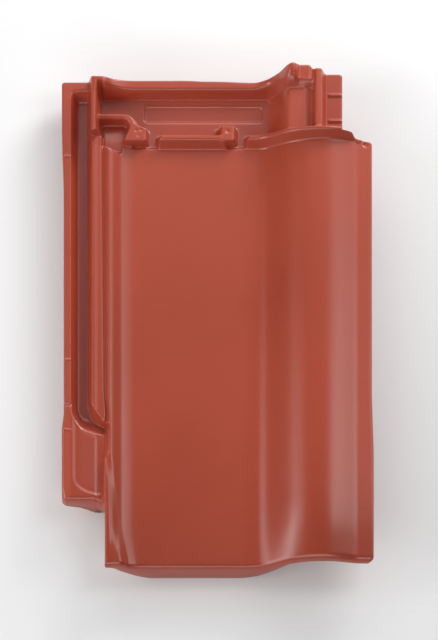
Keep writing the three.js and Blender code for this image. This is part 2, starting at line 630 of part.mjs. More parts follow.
// Round dimple in the top of a boss.
function dimple({ x, y }) {
  const shape = new THREE.Shape();
  const centreY = bodyLength + y[1] - 2.2 * BOSS_DIMPLE_R;
  shape.absarc((x[0] + x[1]) / 2, centreY, BOSS_DIMPLE_R, 0, 2 * Math.PI, false);
  return raised(shape, ribTop - BOSS_DIMPLE_DEPTH, ribTop + 1);
}

// Square boss at the right end of the middle rib.
function rightBoss() {
  const y = rightBossPlan.y.map((offset) => bodyLength + offset);
  return raised(roundedRectangle(rightBossPlan.x, y, DRAFT + 0.5), HEAD_FLOOR - 4, ribTop, DRAFT)
    .subtract(dimple(rightBossPlan));
}

// Left rib of the head lock: from the inner rib across, then bending down to its boss.
function leftRib() {
  const [left, right] = leftBossPlan.x;
  const [front, back] = leftBossPlan.y.map((offset) => bodyLength + offset);
  const ribFront = bodyLength + LEFT_RIB_Y;
  const ribBack = ribFront + LEFT_RIB_WIDTH;
  const neck = left + LEFT_RIB_NECK;
  const plan = new THREE.Shape();
  plan.moveTo(innerRibRight, ribFront);
  plan.lineTo(left, ribFront);
  plan.quadraticCurveTo(neck, ribFront, neck, back - 2);
  plan.lineTo(left, front + LEFT_RIB_NECK);
  plan.lineTo(left, front);
  plan.lineTo(right, front);
  plan.lineTo(right, back - 3);
  plan.lineTo(neck + LEFT_RIB_NECK, back + 2);
  plan.quadraticCurveTo(neck + LEFT_RIB_NECK, ribBack, left, ribBack);
  plan.lineTo(innerRibRight, ribBack);
  return raised(plan, HEAD_FLOOR - 4, ribTop, DRAFT).subtract(dimple(leftBossPlan));
}

// Pocket beside the left boss, where the shoulder ends short of the head lock.
function pocket() {
  const head = bodyLength + SECOND_RIB_FRONT_RUN + 3;
  const right = leftBossPlan.x[0] + 1;
  const plan = polygon([
    [bodyLeft - 4, bodyLength + 1],
    [SHOULDER_X + 0.4 * SHOULDER_FLANK, bodyLength + 1 - POCKET_RUN],
    [right, bodyLength + 2 - POCKET_RUN],
    [right + 1, bodyLength],
    [right + 1, head],
    [bodyLeft - 4, head],
  ]);
  return pocketCutter(plan, HEAD_FLOOR, shoulderTop, POCKET_DRAFT);
}

// Panel below the outlet, with a low rim on three sides.
function padRecess() {
  const right = PAD_WALL_X - 3.5;
  const bottom = FOOT_CUT_LENGTH + PAD_MARGIN;
  const plan = new THREE.Shape();
  plan.moveTo(gutterLeft, OUTLET_Y + OUTLET_WIDTH);
  plan.lineTo(gutterLeft, bottom + PAD_MARGIN);
  plan.quadraticCurveTo(gutterLeft + 2, bottom + 3, right - 2, bottom);
  plan.lineTo(right, bottom + 2);
  plan.lineTo(right, OUTLET_Y);
  return pocketCutter(plan, PAD_TOP, LOCK_TOP, DRAFT);
}

// Gauge notch across the outer rib.
function gaugeNotch() {
  const section = polygon([
    [NOTCH_Y, LOCK_TOP - NOTCH_DEPTH],
    [NOTCH_Y + NOTCH_WIDTH, LOCK_TOP + 1],
    [NOTCH_Y - NOTCH_WIDTH, LOCK_TOP + 1],
  ]);
  return across(section, -1, OUTER_RIB_WIDTH + 1);
}

// Hanging nib: its foot-side face bears on the batten.
function nib(x) {
  const bearing = LENGTH - NIB_FROM_HEAD;
  const section = polygon([
    [bearing, HEAD_FLOOR - WALL + 2],
    [bearing, 0],
    [bearing + 0.6 * NIB_THICKNESS, 0],
    [bearing + NIB_THICKNESS, HEAD_FLOOR - WALL + 2],
  ]);
  return across(section, x - NIB_WIDTH / 2, x + NIB_WIDTH / 2);
}

// Ribs under the roll: one drops into the neighbour's gutter, one stands beside its outer rib.
function coverRibs() {
  const gutterX = (gutterLeft + gutterRight) / 2 + COVER_WIDTH;
  const rib = (x, tip, root) => polygon([
    [x - COVER_RIB_WIDTH / 2, tip],
    [x + COVER_RIB_WIDTH / 2, tip],
    [x + COVER_RIB_WIDTH / 2 + DRAFT, bodyTop(x) - WALL + root],
    [x - COVER_RIB_WIDTH / 2 - DRAFT, bodyTop(x) - WALL + root],
  ]);
  const deep = alongSlope(rib(gutterX, LOCK_FLOOR + COVER_RIB_GAP, 3), COVER_RIB_START, bodyLength - 8);
  const shallow = alongSlope(rib(crestX - CREST_RIB, CREST_RIB_TIP, 1.3), FOOT_CUT_LENGTH, LENGTH - 10);
  return deep.add(shallow);
}

// Small cross ridges on the flange at the head.
function shelfTicks() {
  const section = (y) => polygon([
    [y - TICK_WIDTH, SHELF_TOP - 1],
    [y + TICK_WIDTH, SHELF_TOP - 1],
    [y + TICK_WIDTH / 4, SHELF_TOP + TICK_HEIGHT],
    [y - TICK_WIDTH / 4, SHELF_TOP + TICK_HEIGHT],
  ]);
  return TICK_FROM_HEAD.map((y) => across(section(LENGTH - y), sideRibEnd + 2, shelfEnd))
    .reduce((all, tick) => all.add(tick));
}

// Sunken plaque between the head ribs, left bare.
function plaque() {
  const y = [LENGTH - PLAQUE_FROM_HEAD[1], LENGTH - PLAQUE_FROM_HEAD[0]];
  return raised(roundedRectangle(plaqueX, y, PLAQUE_R), HEAD_FLOOR - PLAQUE_DEPTH, HEAD_FLOOR + 1);
}

// Outline in plan: both corner cuts, rounded corners, flared long edges and the roll's head edge.
function outline() {
  const r = CORNER_R;
  const cover = width - EDGE_FLARE;
  const [flareStart, flareEnd] = COVER_FLARE_Y;
  const flareBend = (flareEnd - flareStart) / 3;
  const ribEnd = rightRibX[1];
  const shape = new THREE.Shape();
  shape.moveTo(FOOT_CUT_WIDTH + 1, 0);
  shape.lineTo(width - r, 0);
  shape.absarc(width - r, r, r, -Math.PI / 2, 0, false);
  shape.lineTo(width, flareStart);
  shape.bezierCurveTo(width, flareStart + flareBend, cover, flareEnd - flareBend, cover, flareEnd);
  shape.lineTo(cover, bodyLength - 1 - r);
  shape.absarc(cover - r, bodyLength - 1 - r, r, 0, Math.PI / 2, false);
  shape.lineTo(ribEnd + 6, bodyLength);
  shape.lineTo(ribEnd + 1, bodyLength + 0.3 * RIB_END_REACH);
  shape.lineTo(ribEnd - 2, bodyLength + 0.8 * RIB_END_REACH);
  shape.lineTo(shelfEnd, bodyLength + RIB_END_REACH);
  shape.lineTo(shelfEnd, headEdge(shelfEnd) - r / 2);
  shape.absarc(shelfEnd - r / 2, headEdge(shelfEnd) - r / 2, r / 2, 0, Math.PI / 2, false);
  const headR = HEAD_CORNER_R;
  const head = stations([[headR, 0], [FOOT_CUT_WIDTH, 1], [panLeft, 2], [headRollLeft, 3],
    [headRollTop + 4, 4], [sideRibX - 4, 5], [sideRibX, 6], [sideRibEnd, 7]], 6);
  head.reverse().forEach((x) => shape.lineTo(x, headEdge(x)));
  shape.absarc(headR, headEdge(headR) - headR, headR, Math.PI / 2, Math.PI, false);
  shape.lineTo(0, LENGTH - LOCK_RIB_CLEAR / 2);
  shape.lineTo(EDGE_FLARE, LENGTH - LOCK_RIB_CLEAR);
  shape.lineTo(EDGE_FLARE, OUTLET_Y + 2 * OUTLET_WIDTH);
  shape.lineTo(0, OUTLET_Y);
  shape.lineTo(0, FOOT_CUT_LENGTH + r);
  shape.absarc(r, FOOT_CUT_LENGTH + r, r, Math.PI, 1.5 * Math.PI, false);
  shape.lineTo(FOOT_CUT_WIDTH - 1, FOOT_CUT_LENGTH);
  shape.lineTo(FOOT_CUT_WIDTH, FOOT_CUT_LENGTH - 1);
  shape.lineTo(FOOT_CUT_WIDTH, 1);
  return raised(shape, -10, 120);
}

function tile() {
  const lock = lockBlock().subtract(gutter()).subtract(padRecess()).subtract(gaugeNotch())
    .subtract(pocket())
    .add(innerRib())
    .add(outletRamp());
  const weatherSide = body().subtract(lockClearance()).subtract(gutter()).subtract(channel())
    .subtract(pocket())
    .add(headZone())
    .add(secondRib(middleRibX))
    .add(secondRib(rightRibX))
    .add(rightBoss())
    .add(leftRib())
    .add(shelfTicks());
  const underside = coverRibs().add(nib(nibX[0])).add(nib(nibX[1]));
  return lock.add(weatherSide).add(underside).subtract(plaque()).intersect(outline());
}

function toGeometry(solid) {
  const mesh = solid.getMesh();
  const geometry = new THREE.BufferGeometry();
  geometry.setAttribute('position', new THREE.BufferAttribute(mesh.vertProperties, 3));
  geometry.setIndex(new THREE.BufferAttribute(mesh.triVerts, 1));
  geometry.computeVertexNormals();
  return geometry;
}

const engobe = new THREE.MeshStandardMaterial({ color: 0xa8492f, roughness: 0.42, metalness: 0 });
const roofTile = new THREE.Mesh(toGeometry(tile()), engobe);
roofTile.name = 'roof_tile';
roofTile.position.set(-width / 2, -(LENGTH + ROLL_HEAD_REACH) / 2, 0);

const group = new THREE.Group();
group.add(roofTile);

export default group;
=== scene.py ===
import math

import bpy
import numpy as np
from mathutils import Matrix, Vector


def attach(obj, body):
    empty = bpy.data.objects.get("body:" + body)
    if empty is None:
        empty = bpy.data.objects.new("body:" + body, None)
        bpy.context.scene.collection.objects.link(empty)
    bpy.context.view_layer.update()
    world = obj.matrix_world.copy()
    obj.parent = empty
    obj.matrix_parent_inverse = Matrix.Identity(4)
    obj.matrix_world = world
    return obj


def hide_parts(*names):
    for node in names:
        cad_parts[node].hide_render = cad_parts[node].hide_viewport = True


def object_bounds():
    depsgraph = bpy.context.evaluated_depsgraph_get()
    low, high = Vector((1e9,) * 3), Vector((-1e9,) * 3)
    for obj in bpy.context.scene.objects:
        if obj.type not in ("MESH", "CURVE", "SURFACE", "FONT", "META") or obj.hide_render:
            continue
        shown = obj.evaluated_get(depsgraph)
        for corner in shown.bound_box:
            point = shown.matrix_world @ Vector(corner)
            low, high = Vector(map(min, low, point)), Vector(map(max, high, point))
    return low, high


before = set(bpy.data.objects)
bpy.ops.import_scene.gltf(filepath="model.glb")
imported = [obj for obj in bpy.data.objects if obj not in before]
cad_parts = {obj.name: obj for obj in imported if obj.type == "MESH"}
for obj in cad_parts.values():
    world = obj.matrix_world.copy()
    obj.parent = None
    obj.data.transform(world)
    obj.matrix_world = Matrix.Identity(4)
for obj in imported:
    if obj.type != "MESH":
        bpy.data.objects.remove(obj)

# Interlocking clay roof tile, as one closed mesh with its real fillets and an engobed surface.
# Sizes are millimetres in the tile's own axes: x from the lock's outer edge, y up from the foot
# edge and z from the resting plane. They turn into metres of the row frame in to_row().
CAD_LOW, CAD_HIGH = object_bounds()
MM = 0.001

# ---- Plan ------------------------------------------------------------------------------------
WIDTH = 282.0
LENGTH = 470.0
FOOT_CUT = (38.8, 64.6)         # corner cut away at the foot of the side lock
SHELF_END = 253.5               # the head zone's right edge
BODY_END = 406.5                # front of the second head rib
SHELF_START = 411.5             # the right edge steps in from here to the head
EDGE_INSET = 1.7                # both long edges stand this far in along their middle
CORNER_R = 5.0
FOOT_CORNER_R = 5.5

# ---- Section of the body ---------------------------------------------------------------------
WALL = 12.5
PAN_TOP = 27.0
ROLL_TOP = 60.0
SHOULDER_SECTION = [(36, 36.6), (41, 36.9), (42.5, 36.9), (43.9, 36.6), (54.9, 29.3), (57.4, 28.5),
                    (60.5, 27.8), (64.5, 27.2), (70, 27), (100, 27)]
ROLL_SECTION = [(100, 27), (168.5, 27), (180.6, 29.2), (194.4, 40.3), (206, 50.2), (217.6, 56.3),
                (229.1, 59.4), (240, 60), (246, 59.2), (252, 57.35), (258, 54.95), (265, 52.0),
                (280, 45.6)]
FLANGE_TOP = 51.6               # level strip along the right edge, which meets the roll in a crease
FOOT_R = 4.5                    # rounding of the foot's upper edge, on the pan and on the roll
ROLL_FOOT_R = 5.7
FOOT_DROP = 8.3                 # the roll's crest comes down by this much at the foot
FOOT_DROP_LENGTH = 38.0
FOOT_DROP_EASE = 18.5           # half the length over which it sets in
WIDENING_START = 34.0           # the shoulder spreads between here and the foot
NOSE_LENGTH = 14.0              # the foot is thick over this length, seen from below
NOSE_RUN_OUT = 12.0

# Height of the foot's front face across the tile.
FOOT_WALL = [(35.4, 11.3), (47, 11.3), (56, 14.4), (65, 19.8), (73, 24.6), (81, 27), (158.4, 27),
             (175.4, 23.6), (182.9, 20.4), (194.4, 18.6), (204, 16), (210, 14.6), (216, 15.6),
             (224, 17), (240, 15), (269.4, 15), (282, 12)]

# ---- Side lock -------------------------------------------------------------------------------
LOCK_TOP = 32.0
LOCK_FLOOR = 20.0
LOCK_UNDERSIDE = 11.5
LOCK_EDGE_LIFT = 5.5
OUTER_RIB_X = 8.6
GUTTER_X = (13.4, 24.0)         # the gutter's floor, from and to
GUTTER_FILLET = 0.75
GUTTER_HEAD = (453.6, 455.4, 461.5)     # floor rises, end wall starts, end wall is up
INNER_RIB_X = 26.4
INNER_RIB_TOP = 34.0
HIGH_RIB_Y = 417.6              # from here to the head the inner rib is high
HIGH_RIB_TOP = 47.0
HIGH_RIB_X = (27.0, 31.0)
NOTCH_Y = 157.5                 # gauge notch across the outer rib
RIB_RIDGES_Y = (132.6, 200.6, 398.2)

# Stepped panel below the gutter's outlet.
PAD = [(10.4, 143.0), (10.6, 84.8), (12.9, 79.3), (18.1, 74.6), (24.2, 71.6), (30.6, 70.0),
       (38.0, 70.0), (38.0, 127.0), (26.0, 129.4), (18.7, 132.6), (13.2, 138.5)]

# ---- Head lock -------------------------------------------------------------------------------
HEAD_FLOOR = 24.0
HEAD_RIB_FOOT = 456.2           # where the head rib starts to rise
SECOND_RIB_RISE = 10.0
RIB_TOP = 37.0

# Second rib, seen from above: a bent block on the left and two plain lengths, from and to.
LEFT_RIB = [(33.0, 437.3), (57.5, 437.3), (61.8, 435.8), (64.8, 432.2), (65.8, 428.6), (70.5, 425.9),
            (76.6, 423.6), (76.3, 411.7), (57.0, 411.9), (57.6, 415.6), (59.6, 419.6), (61.2, 424.4),
            (61.0, 428.6), (58.8, 432.0), (55.5, 433.1), (33.0, 433.1)]
MIDDLE_RIB = (86.0, 150.0)
RIGHT_RIB = (165.6, 265.9)
GAP_FRONT = 407.2               # the pan ends here in the gaps between them
RIGHT_BOSS = (144.0, 156.2, 411.9, 426.2)
PLAQUE = (74.5, 181.0, 434.5, 449.0)    # sunken, and bare
PLAQUE_DEPTH = 1.4
POCKET_RISE = 3.4               # floor of the pocket between the high rib and the bent block
DIMPLES = [(149.8, 420.6, 2.3, 0.8), (66.9, 421.4, 1.5, 0.6), (71.2, 422.0, 1.5, 0.6),
           (68.9, 416.4, 1.3, 0.5)]     # x, y, radius, depth
FLANGE_LIP = (268.2, 406.6)
FLANGE_DENT = (275.3, 402.4, 3.4, 2.4)
FLANGE_RIDGES_Y = (426.0, 451.0)

# ---- Underside -------------------------------------------------------------------------------
NIB_CENTRES = (82.0, 160.0)
NIB_HALF = 18.0
NIB_Y = (437.6, 453.5)
COVER_RIBS = ((258.6, 24.0, 165.0, 398.0), (232.0, 36.0, 66.0, 459.0))  # x, tip, from, to
COVER_RIB_HALF = 5.0

# ---- Edges -----------------------------------------------------------------------------------
RIM_R = 1.6                     # rounding of the upper rim
LOW_RIM_R = 1.2
THINNEST = 1.5                  # the two faces stay this far apart at the rim

# ---- Wear, dust, painted shade, sheen and highlights -----------------------------------------
RIB_HIGHLIGHT_FROM = 350.0             # painted highlight: the outer rib is paler from here on towards the foot
RIB_HIGHLIGHT_RUN = 220.0
FOOT_SHADE_FROM = 110.0              # painted shade: faces turned up get darker from here down to the foot
FOOT_SHADE_AMOUNT = 0.16
# painted sheen on the stepped panel
PAD_SHEEN = 0.28
# share of the pale colour on worn edges and on the outer rib's painted highlight
WEAR_AND_HIGHLIGHT_SHARE = 0.35
DUST_SHARE = 0.22
# share of the painted shade and sheen at its fullest
SHADE_SHEEN_SHARE = 0.75
HOLLOW_DEPTH = 9.0             # a hollow this deep gets the full painted shade and sheen
RELIEF_GAIN = 1.6
RELIEF_PASSES = 3
ENGOBE_DARK = (0.376, 0.053, 0.0247, 1)
ENGOBE_LIGHT = (0.425, 0.062, 0.0287, 1)
SPECKLE = (0.985, 0.98, 0.98, 1)
# pale colour of worn edges, and of the painted highlight on the outer rib
WEAR_AND_HIGHLIGHT = (0.52, 0.118, 0.063, 1)
CREASE_DUST = (0.47, 0.13, 0.085, 1)
# painted shade with a painted sheen, for hollows and the stepped panel
SHADE_SHEEN_COLOUR = (0.35, 0.09, 0.073, 1)
BLACK = (0.0, 0.0, 0.0, 1)
WHITE = (1, 1, 1, 1)
ROUGHNESS = (0.30, 0.34)
BUMP_STRENGTH = 0.07
BUMP_HEIGHT = 0.0003            # in metres

# ---- Stage values ----------------------------------------------------------------------------
CAMERA_ELEVATION = 68.5         # over the horizon, in degrees
CAMERA_DISTANCE = 2.5
VIEW_CENTRE = (142.1, 251.75, 0.0)
PIXELS_PER_MM = 1.1063
FRAME_HEIGHT = 640
FLOOR_HALF = 4.0
FLOOR_GAP = 0.0005              # the floor lies this far under the tile
FLOOR_GLOW = 0.08
SKY_STRENGTH = 1.0
LAMP_TARGET = (0, 0, 0.03)

NODE = "roof_tile"


# ---- Small tools -----------------------------------------------------------------------------

def soft(t, r):
    """max(t, 0) with its corner rounded over r on either side."""
    return np.where(t < -r, 0.0, np.where(t > r, t, (t + r) ** 2 / (4 * r)))


def ramp(d, run, r=None):
    """0 to 1 while d goes from 0 to run, with both corners rounded over r."""
    r = 0.35 * run if r is None else r
    return (soft(d, r) - soft(d - run, r)) / run


def mix(a, b, t):
    """From a to b while t goes from 0 to 1."""
    return a + (b - a) * t


def line(points):
    """Smooth line through (x, z) points, with no overshoot on its level stretches."""
    x = np.array([p[0] for p in points], float)
    z = np.array([p[1] for p in points], float)
    slope = np.diff(z) / np.diff(x)
    product = slope[:-1] * slope[1:]
    total = slope[:-1] + slope[1:]
    inner = np.where(product > 0, 2 * product / np.where(product > 0, total, 1), 0)
    tangent = np.concatenate([slope[:1], inner, slope[-1:]])

    def at(value):
        v = np.clip(value, x[0], x[-1])
        i = np.clip(np.searchsorted(x, v, side="right") - 1, 0, len(x) - 2)
        span = x[i + 1] - x[i]
        t = (v - x[i]) / span
        return ((1 + 2 * t) * (1 - t) ** 2 * z[i] + t * (1 - t) ** 2 * span * tangent[i]
                + t * t * (3 - 2 * t) * z[i + 1] + t * t * (t - 1) * span * tangent[i + 1])

    return at


def inside(points, x, y, reach=8.0):
    """Distance into a closed outline: positive inside it, negative outside."""
    px = np.array([p[0] for p in points], float)
    py = np.array([p[1] for p in points], float)
    out = np.full(x.shape, -reach)
    near = ((x > px.min() - reach) & (x < px.max() + reach)
            & (y > py.min() - reach) & (y < py.max() + reach))
    qx, qy = x[near], y[near]
    best = np.full(qx.shape, 1e9)
    within = np.zeros(qx.shape, bool)
    for ax, ay, bx, by in zip(px, py, np.roll(px, -1), np.roll(py, -1)):
        ex, ey = bx - ax, by - ay
        t = np.clip(((qx - ax) * ex + (qy - ay) * ey) / (ex * ex + ey * ey), 0, 1)
        best = np.minimum(best, np.hypot(qx - ax - t * ex, qy - ay - t * ey))
        crosses = (ay > qy) != (by > qy)
        edge_x = ax + (qy - ay) * ex / (ey if abs(ey) > 1e-9 else 1e-9)
        within ^= crosses & (qx < edge_x)
    out[near] = np.where(within, best, -best)
    return out


def rounded(points, r, steps=5):
    """The outline with every corner rounded to about r."""
    out = []
    count = len(points)
    for k in range(count):
        a, b, c = (np.array(points[(k + s) % count], float) for s in (-1, 0, 1))
        before, after = a - b, c - b
        reach = min(r, 0.45 * np.linalg.norm(before), 0.45 * np.linalg.norm(after))
        start = b + before / np.linalg.norm(before) * reach
        end = b + after / np.linalg.norm(after) * reach
        for t in np.linspace(0, 1, steps):
            out.append(tuple((1 - t) ** 2 * start + 2 * t * (1 - t) * b + t * t * end))
    return out


def rectangle(x0, x1, y0, y1, r):
    """Outline of a rectangle with rounded corners."""
    return rounded([(x0, y0), (x1, y0), (x1, y1), (x0, y1)], r)


# ---- Section lines ---------------------------------------------------------------------------

def eased(points, reach):
    """The line through the points, with its bends spread over reach."""
    raw = line(points)
    x = np.arange(points[0][0], points[-1][0] + 0.1, 0.2)
    shifts = reach * np.sin(np.linspace(-1.5, 1.5, 15))
    z = sum(raw(x + shift) for shift in shifts) / len(shifts)
    return lambda value: np.interp(value, x, z)


shoulder_top = eased(SHOULDER_SECTION, 0.35)
roll_top = eased(ROLL_SECTION, 5.0)
foot_wall = line(FOOT_WALL)


def body_top(x):
    """Height of the weather face across the tile."""
    flange = FLANGE_TOP - 0.05 * (x - 266)
    roll = flange + soft(roll_top(x) - flange, 0.8)
    plain = np.where(x < 250, roll_top(x), roll)
    return np.where(x < SHOULDER_SECTION[-1][0], shoulder_top(x), plain)


# How far the head edge stands behind the foot edge.
head_edge = line([(0, 470.5), (24, 470.5), (38.8, 470.2), (50, 470.1), (65, 469.9), (112, 470),
                  (125, 469.4), (147, 469), (161, 468.3), (173, 468), (195, 472), (209.5, 476.5),
                  (223, 476.5), (229, 472), (253.5, 472)])

# Floor between the two head ribs, with its roll, groove, side rib and cover flange.
head_floor = line([(27, 24), (186, 24), (188.5, 26.2), (202, 50.5), (204.6, 53.4), (208, 54),
                   (219, 53.8), (223, 52.6), (225.6, 52), (227.2, 53.2), (228.9, 62.4), (230.6, 64),
                   (233.4, 64), (235.2, 62.2), (237.4, 50), (239.6, 47.5), (253.5, 47.5)])

# Top of the head rib across the tile, and the front edge of that top.
head_rib = line([(27, 48.6), (36, 48.6), (38.8, 47.8), (44.2, 43.6), (49.7, 40.7), (55, 38.9),
                 (61, 37.8), (66, 37.5), (173, 37.5), (185, 41), (195, 50), (204.5, 64), (207.5, 66.6),
                 (210, 66.9), (212.7, 63.2), (215.5, 60.6), (223.5, 60.5), (226.4, 59.3), (228.6, 62),
                 (230.6, 64), (233.4, 64), (235, 61.8), (237.3, 50.5), (239.6, 47.5), (253.5, 47.5)])
head_rib_front = line([(27, 468), (33.3, 467.7), (39.7, 466.4), (48.8, 464.9), (57.8, 463.5),
                       (66.9, 462.9), (173, 462.8), (185, 466.4), (195, 468.5), (205, 471.8),
                       (210, 473.5), (229, 473.5)])

# Ledge along the head rib's front where it crosses the roll.
ledge_front = line([(200, 467.0), (207, 465.4), (224, 462.0), (229, 461.6)])
ledge_top = line([(205, 62.4), (224, 58.4)])

# Narrow groove between the inner lock rib and the shoulder.
groove_x = line([(60, 36.1), (103, 36.4), (108, 37.5), (125, 38.2), (137, 39.5), (150, 41), (161, 40),
                 (176, 39.1), (215, 38.8), (259, 38.3), (308, 37.9), (356, 37.4), (406, 37)])

# The shoulder's crest beside that groove, and where the shoulder ends below the head lock.
shoulder_crest = line([(60, 39.3), (100, 39.3), (108, 42), (125, 45), (137, 45), (150, 43.6),
                       (165, 43.1)])
shoulder_end = line([(36, 407.5), (39.7, 406.0), (46, 402.9), (51, 400.9), (53.2, 401.0),
                     (55.4, 408.0), (58, 409.0)])

# How far the shoulder's slope moves out at the foot.
shoulder_shift = line([(40, 0), (52, 8.7), (62, 5.5), (75, 1.5), (90, 0)])

# Shallow step along the shoulder: its two sides and its depth, up the tile.
step_left = line([(13, 43.3), (55, 42.8), (77, 42.3), (93, 40.3), (107, 38.2), (131, 36.0)])
step_right = line([(13, 52.0), (33, 51.8), (65, 49.8), (82, 47.3), (103, 44.2), (124, 41.3),
                   (134, 38.0)])
step_depth = line([(13, 0.3), (60, 0.5), (100, 0.9), (134, 2.0)])

# The inner rib's curved tip, how long it slopes, and the outlet's side towards the foot.
rib_tip = line([(23.0, 175.0), (24.1, 158.0), (26.4, 149.6), (29.7, 143.9), (35.8, 139.6),
                (44, 136.0)])
rib_tip_run = line([(24, 9.0), (28.4, 9.0), (32, 7.0), (36, 3.0), (38, 1.4), (44, 1.0)])
outlet_end = line([(9.0, 149.5), (10.7, 145.9), (13.4, 142.0), (18.9, 134.9), (26.1, 131.6),
                   (37.0, 128.2), (44.0, 126.0)])

# The outline in plan: both long edges, the flange's head end and the pull on the lock's foot end.
left_inset = line([(64, 0), (133, 0), (150, EDGE_INSET), (360, EDGE_INSET), (425, 0.1), (470, 0)])
right_inset = line([(0, 0), (95, 0), (165, EDGE_INSET), (470, EDGE_INSET)])
flange_end = line([(SHELF_END, 411.5), (262, 410.5), (265, 408.0), (270, 406.4), (275, 405.5),
                   (282, 405.0)])
lock_end_pull = line([(25, 0), (64.6, 1), (105, 0)])


def roll_share(x):
    """Share of the roll's height at x."""
    return np.clip((body_top(x) - PAN_TOP) / (ROLL_TOP - PAN_TOP), 0, 1)


def second_front(x):
    """Front of the second head rib, which runs a little down the tile over the roll."""
    return BODY_END - 1.8 * roll_share(x)


# ---- Weather side ----------------------------------------------------------------------------

def body_face(x, y):
    """Pan, shoulder and roll; the shoulder spreads at the foot, with a shallow step along it."""
    widening = ramp(WIDENING_START - y, WIDENING_START - 3.0, 9.0)
    top = body_top(x - shoulder_shift(x) * widening * (x < 100))
    step = ramp(x - step_left(y), 1.2, 0.5) * ramp(step_right(y) + 0.6 - x, 2.4, 1.1)
    along = ramp(y - 14.5, 3.0) * ramp(144 - y, 8.0)
    top = top - step_depth(y) * step * along
    share = roll_share(x)
    top = top - FOOT_DROP * share * soft(FOOT_DROP_LENGTH - y, FOOT_DROP_EASE) / FOOT_DROP_LENGTH
    radius = mix(FOOT_R, ROLL_FOOT_R, share)
    back = np.maximum(radius - y, 0)
    return top - (radius - np.sqrt(np.maximum(radius ** 2 - back ** 2, 0)))


def head_face(x, y):
    """Floor between the head ribs, rising into the head rib."""
    floor = head_floor(x)
    top = head_rib(x)
    crest = head_rib_front(x)
    plain = mix(floor, top, ramp(y - HEAD_RIB_FOOT, crest - HEAD_RIB_FOOT, 1.0))
    front = ledge_front(x)
    back = front + 2.4
    ledge = mix(floor, ledge_top(x), ramp(y - HEAD_RIB_FOOT, front - HEAD_RIB_FOOT, 1.2))
    stepped = mix(ledge, top, ramp(y - back, crest - back, 0.8))
    return mix(plain, stepped, ramp(x - 199.0, 8.0) * ramp(229.5 - x, 1.5))


def second_rib(z, x, y, start, end):
    """The second head rib between start and end across the tile."""
    share = roll_share(x)
    front = second_front(x)
    crest = front + 6.3 - 0.3 * share
    back = crest + mix(4.0, 2.8, share)
    body = body_top(x) + SECOND_RIB_RISE
    along = ramp(x - start, 2.6, 1.0) * ramp(end - x, 2.6, 1.0)
    over = ramp(y - front, crest - front, 1.1) * ramp(back + 2.4 - y, 2.4, 0.8)
    return mix(z, np.maximum(body, z), along * over)


def block(z, x, y, outline, top, run, r=0.7):
    """A block with drafted sides; the outline is that of its top."""
    return mix(z, np.maximum(z, top), ramp(inside(outline, x, y) + run, run, r))


def dimple(z, x, y, cx, cy, radius, depth):
    """A round hollow with its middle at (cx, cy)."""
    return z - depth * ramp(radius - np.hypot(x - cx, y - cy), 0.8 * radius, 0.5)


def lock_face(x, y):
    """Outer rib, gutter, inner rib and the groove beside the shoulder."""
    z = np.full(x.shape, LOCK_TOP)
    floor = LOCK_FLOOR + 1.4 * ramp(y - GUTTER_HEAD[0], GUTTER_HEAD[1] - GUTTER_HEAD[0], 0.5)
    floor = floor + GUTTER_FILLET * (1 - ramp(x - GUTTER_X[0], 2.4, 0.5))
    wall = 1 - ramp(y - GUTTER_HEAD[1], GUTTER_HEAD[2] - GUTTER_HEAD[1], 0.9)
    gutter = ramp(x - OUTER_RIB_X, GUTTER_X[0] - OUTER_RIB_X, 1.3)
    z = mix(z, floor, gutter * wall)

    # Inner rib with its curved tip, low beside the pan and high beside the head lock.
    groove = groove_x(y)
    rib_left = ramp(x - GUTTER_X[1], INNER_RIB_X - GUTTER_X[1], 1.0)
    rib_end = ramp(y - rib_tip(x), rib_tip_run(x), 0.8)
    rib_top = INNER_RIB_TOP - 0.8 * ramp(x - 29.4, 3.2, 0.8) - 0.35 * ramp(x - groove + 2.7, 1.2, 0.4)
    z = mix(z, rib_top, rib_left * rib_end)
    groove_depth = 1.1 + 0.8 * ramp(170.0 - y, 12.0)
    z = z - groove_depth * ramp(x - groove + 1.4, 1.4, 0.5) * rib_end

    high = ramp(y - HIGH_RIB_Y, 1.1, 0.5)
    z_high = mix(z, HIGH_RIB_TOP, ramp(x - 24.3, HIGH_RIB_X[0] - 24.3, 0.9))
    z_high = mix(z_high, HEAD_FLOOR, ramp(x - HIGH_RIB_X[1], 4.6, 1.2))
    return mix(z, z_high, high)


def outlet_and_pad(z, x, y):
    """The gutter's outlet below the inner rib's tip, and the stepped panel below that."""
    below = ramp(outlet_end(x) + 11.0 - y, 13.0, 4.5)
    outlet_floor = LOCK_FLOOR + 12.0 * ramp(x - 19.0, 15.0, 3.0)
    in_outlet = ramp(x - OUTER_RIB_X - 0.5, 4.8, 1.3)
    zone = in_outlet * (1 - ramp(y - rib_tip(x), 1.2, 0.6)) * (x > 20)
    z = np.where((y < 180) & (x > 20), mix(z, np.minimum(z, outlet_floor), zone), z)
    z = mix(z, LOCK_TOP, below * (y < 180))
    z = z - 0.9 * ramp(inside(rounded(PAD, 2.0), x, y) + 1.0, 2.8, 0.9)
    low_end = ramp(128.0 - y, 4.0, 1.5)
    z = z - 0.8 * ramp(x - 29.6, 2.2, 0.7) * low_end
    return z - 0.7 * ramp(x - groove_x(y) + 1.3, 1.3, 0.4) * low_end


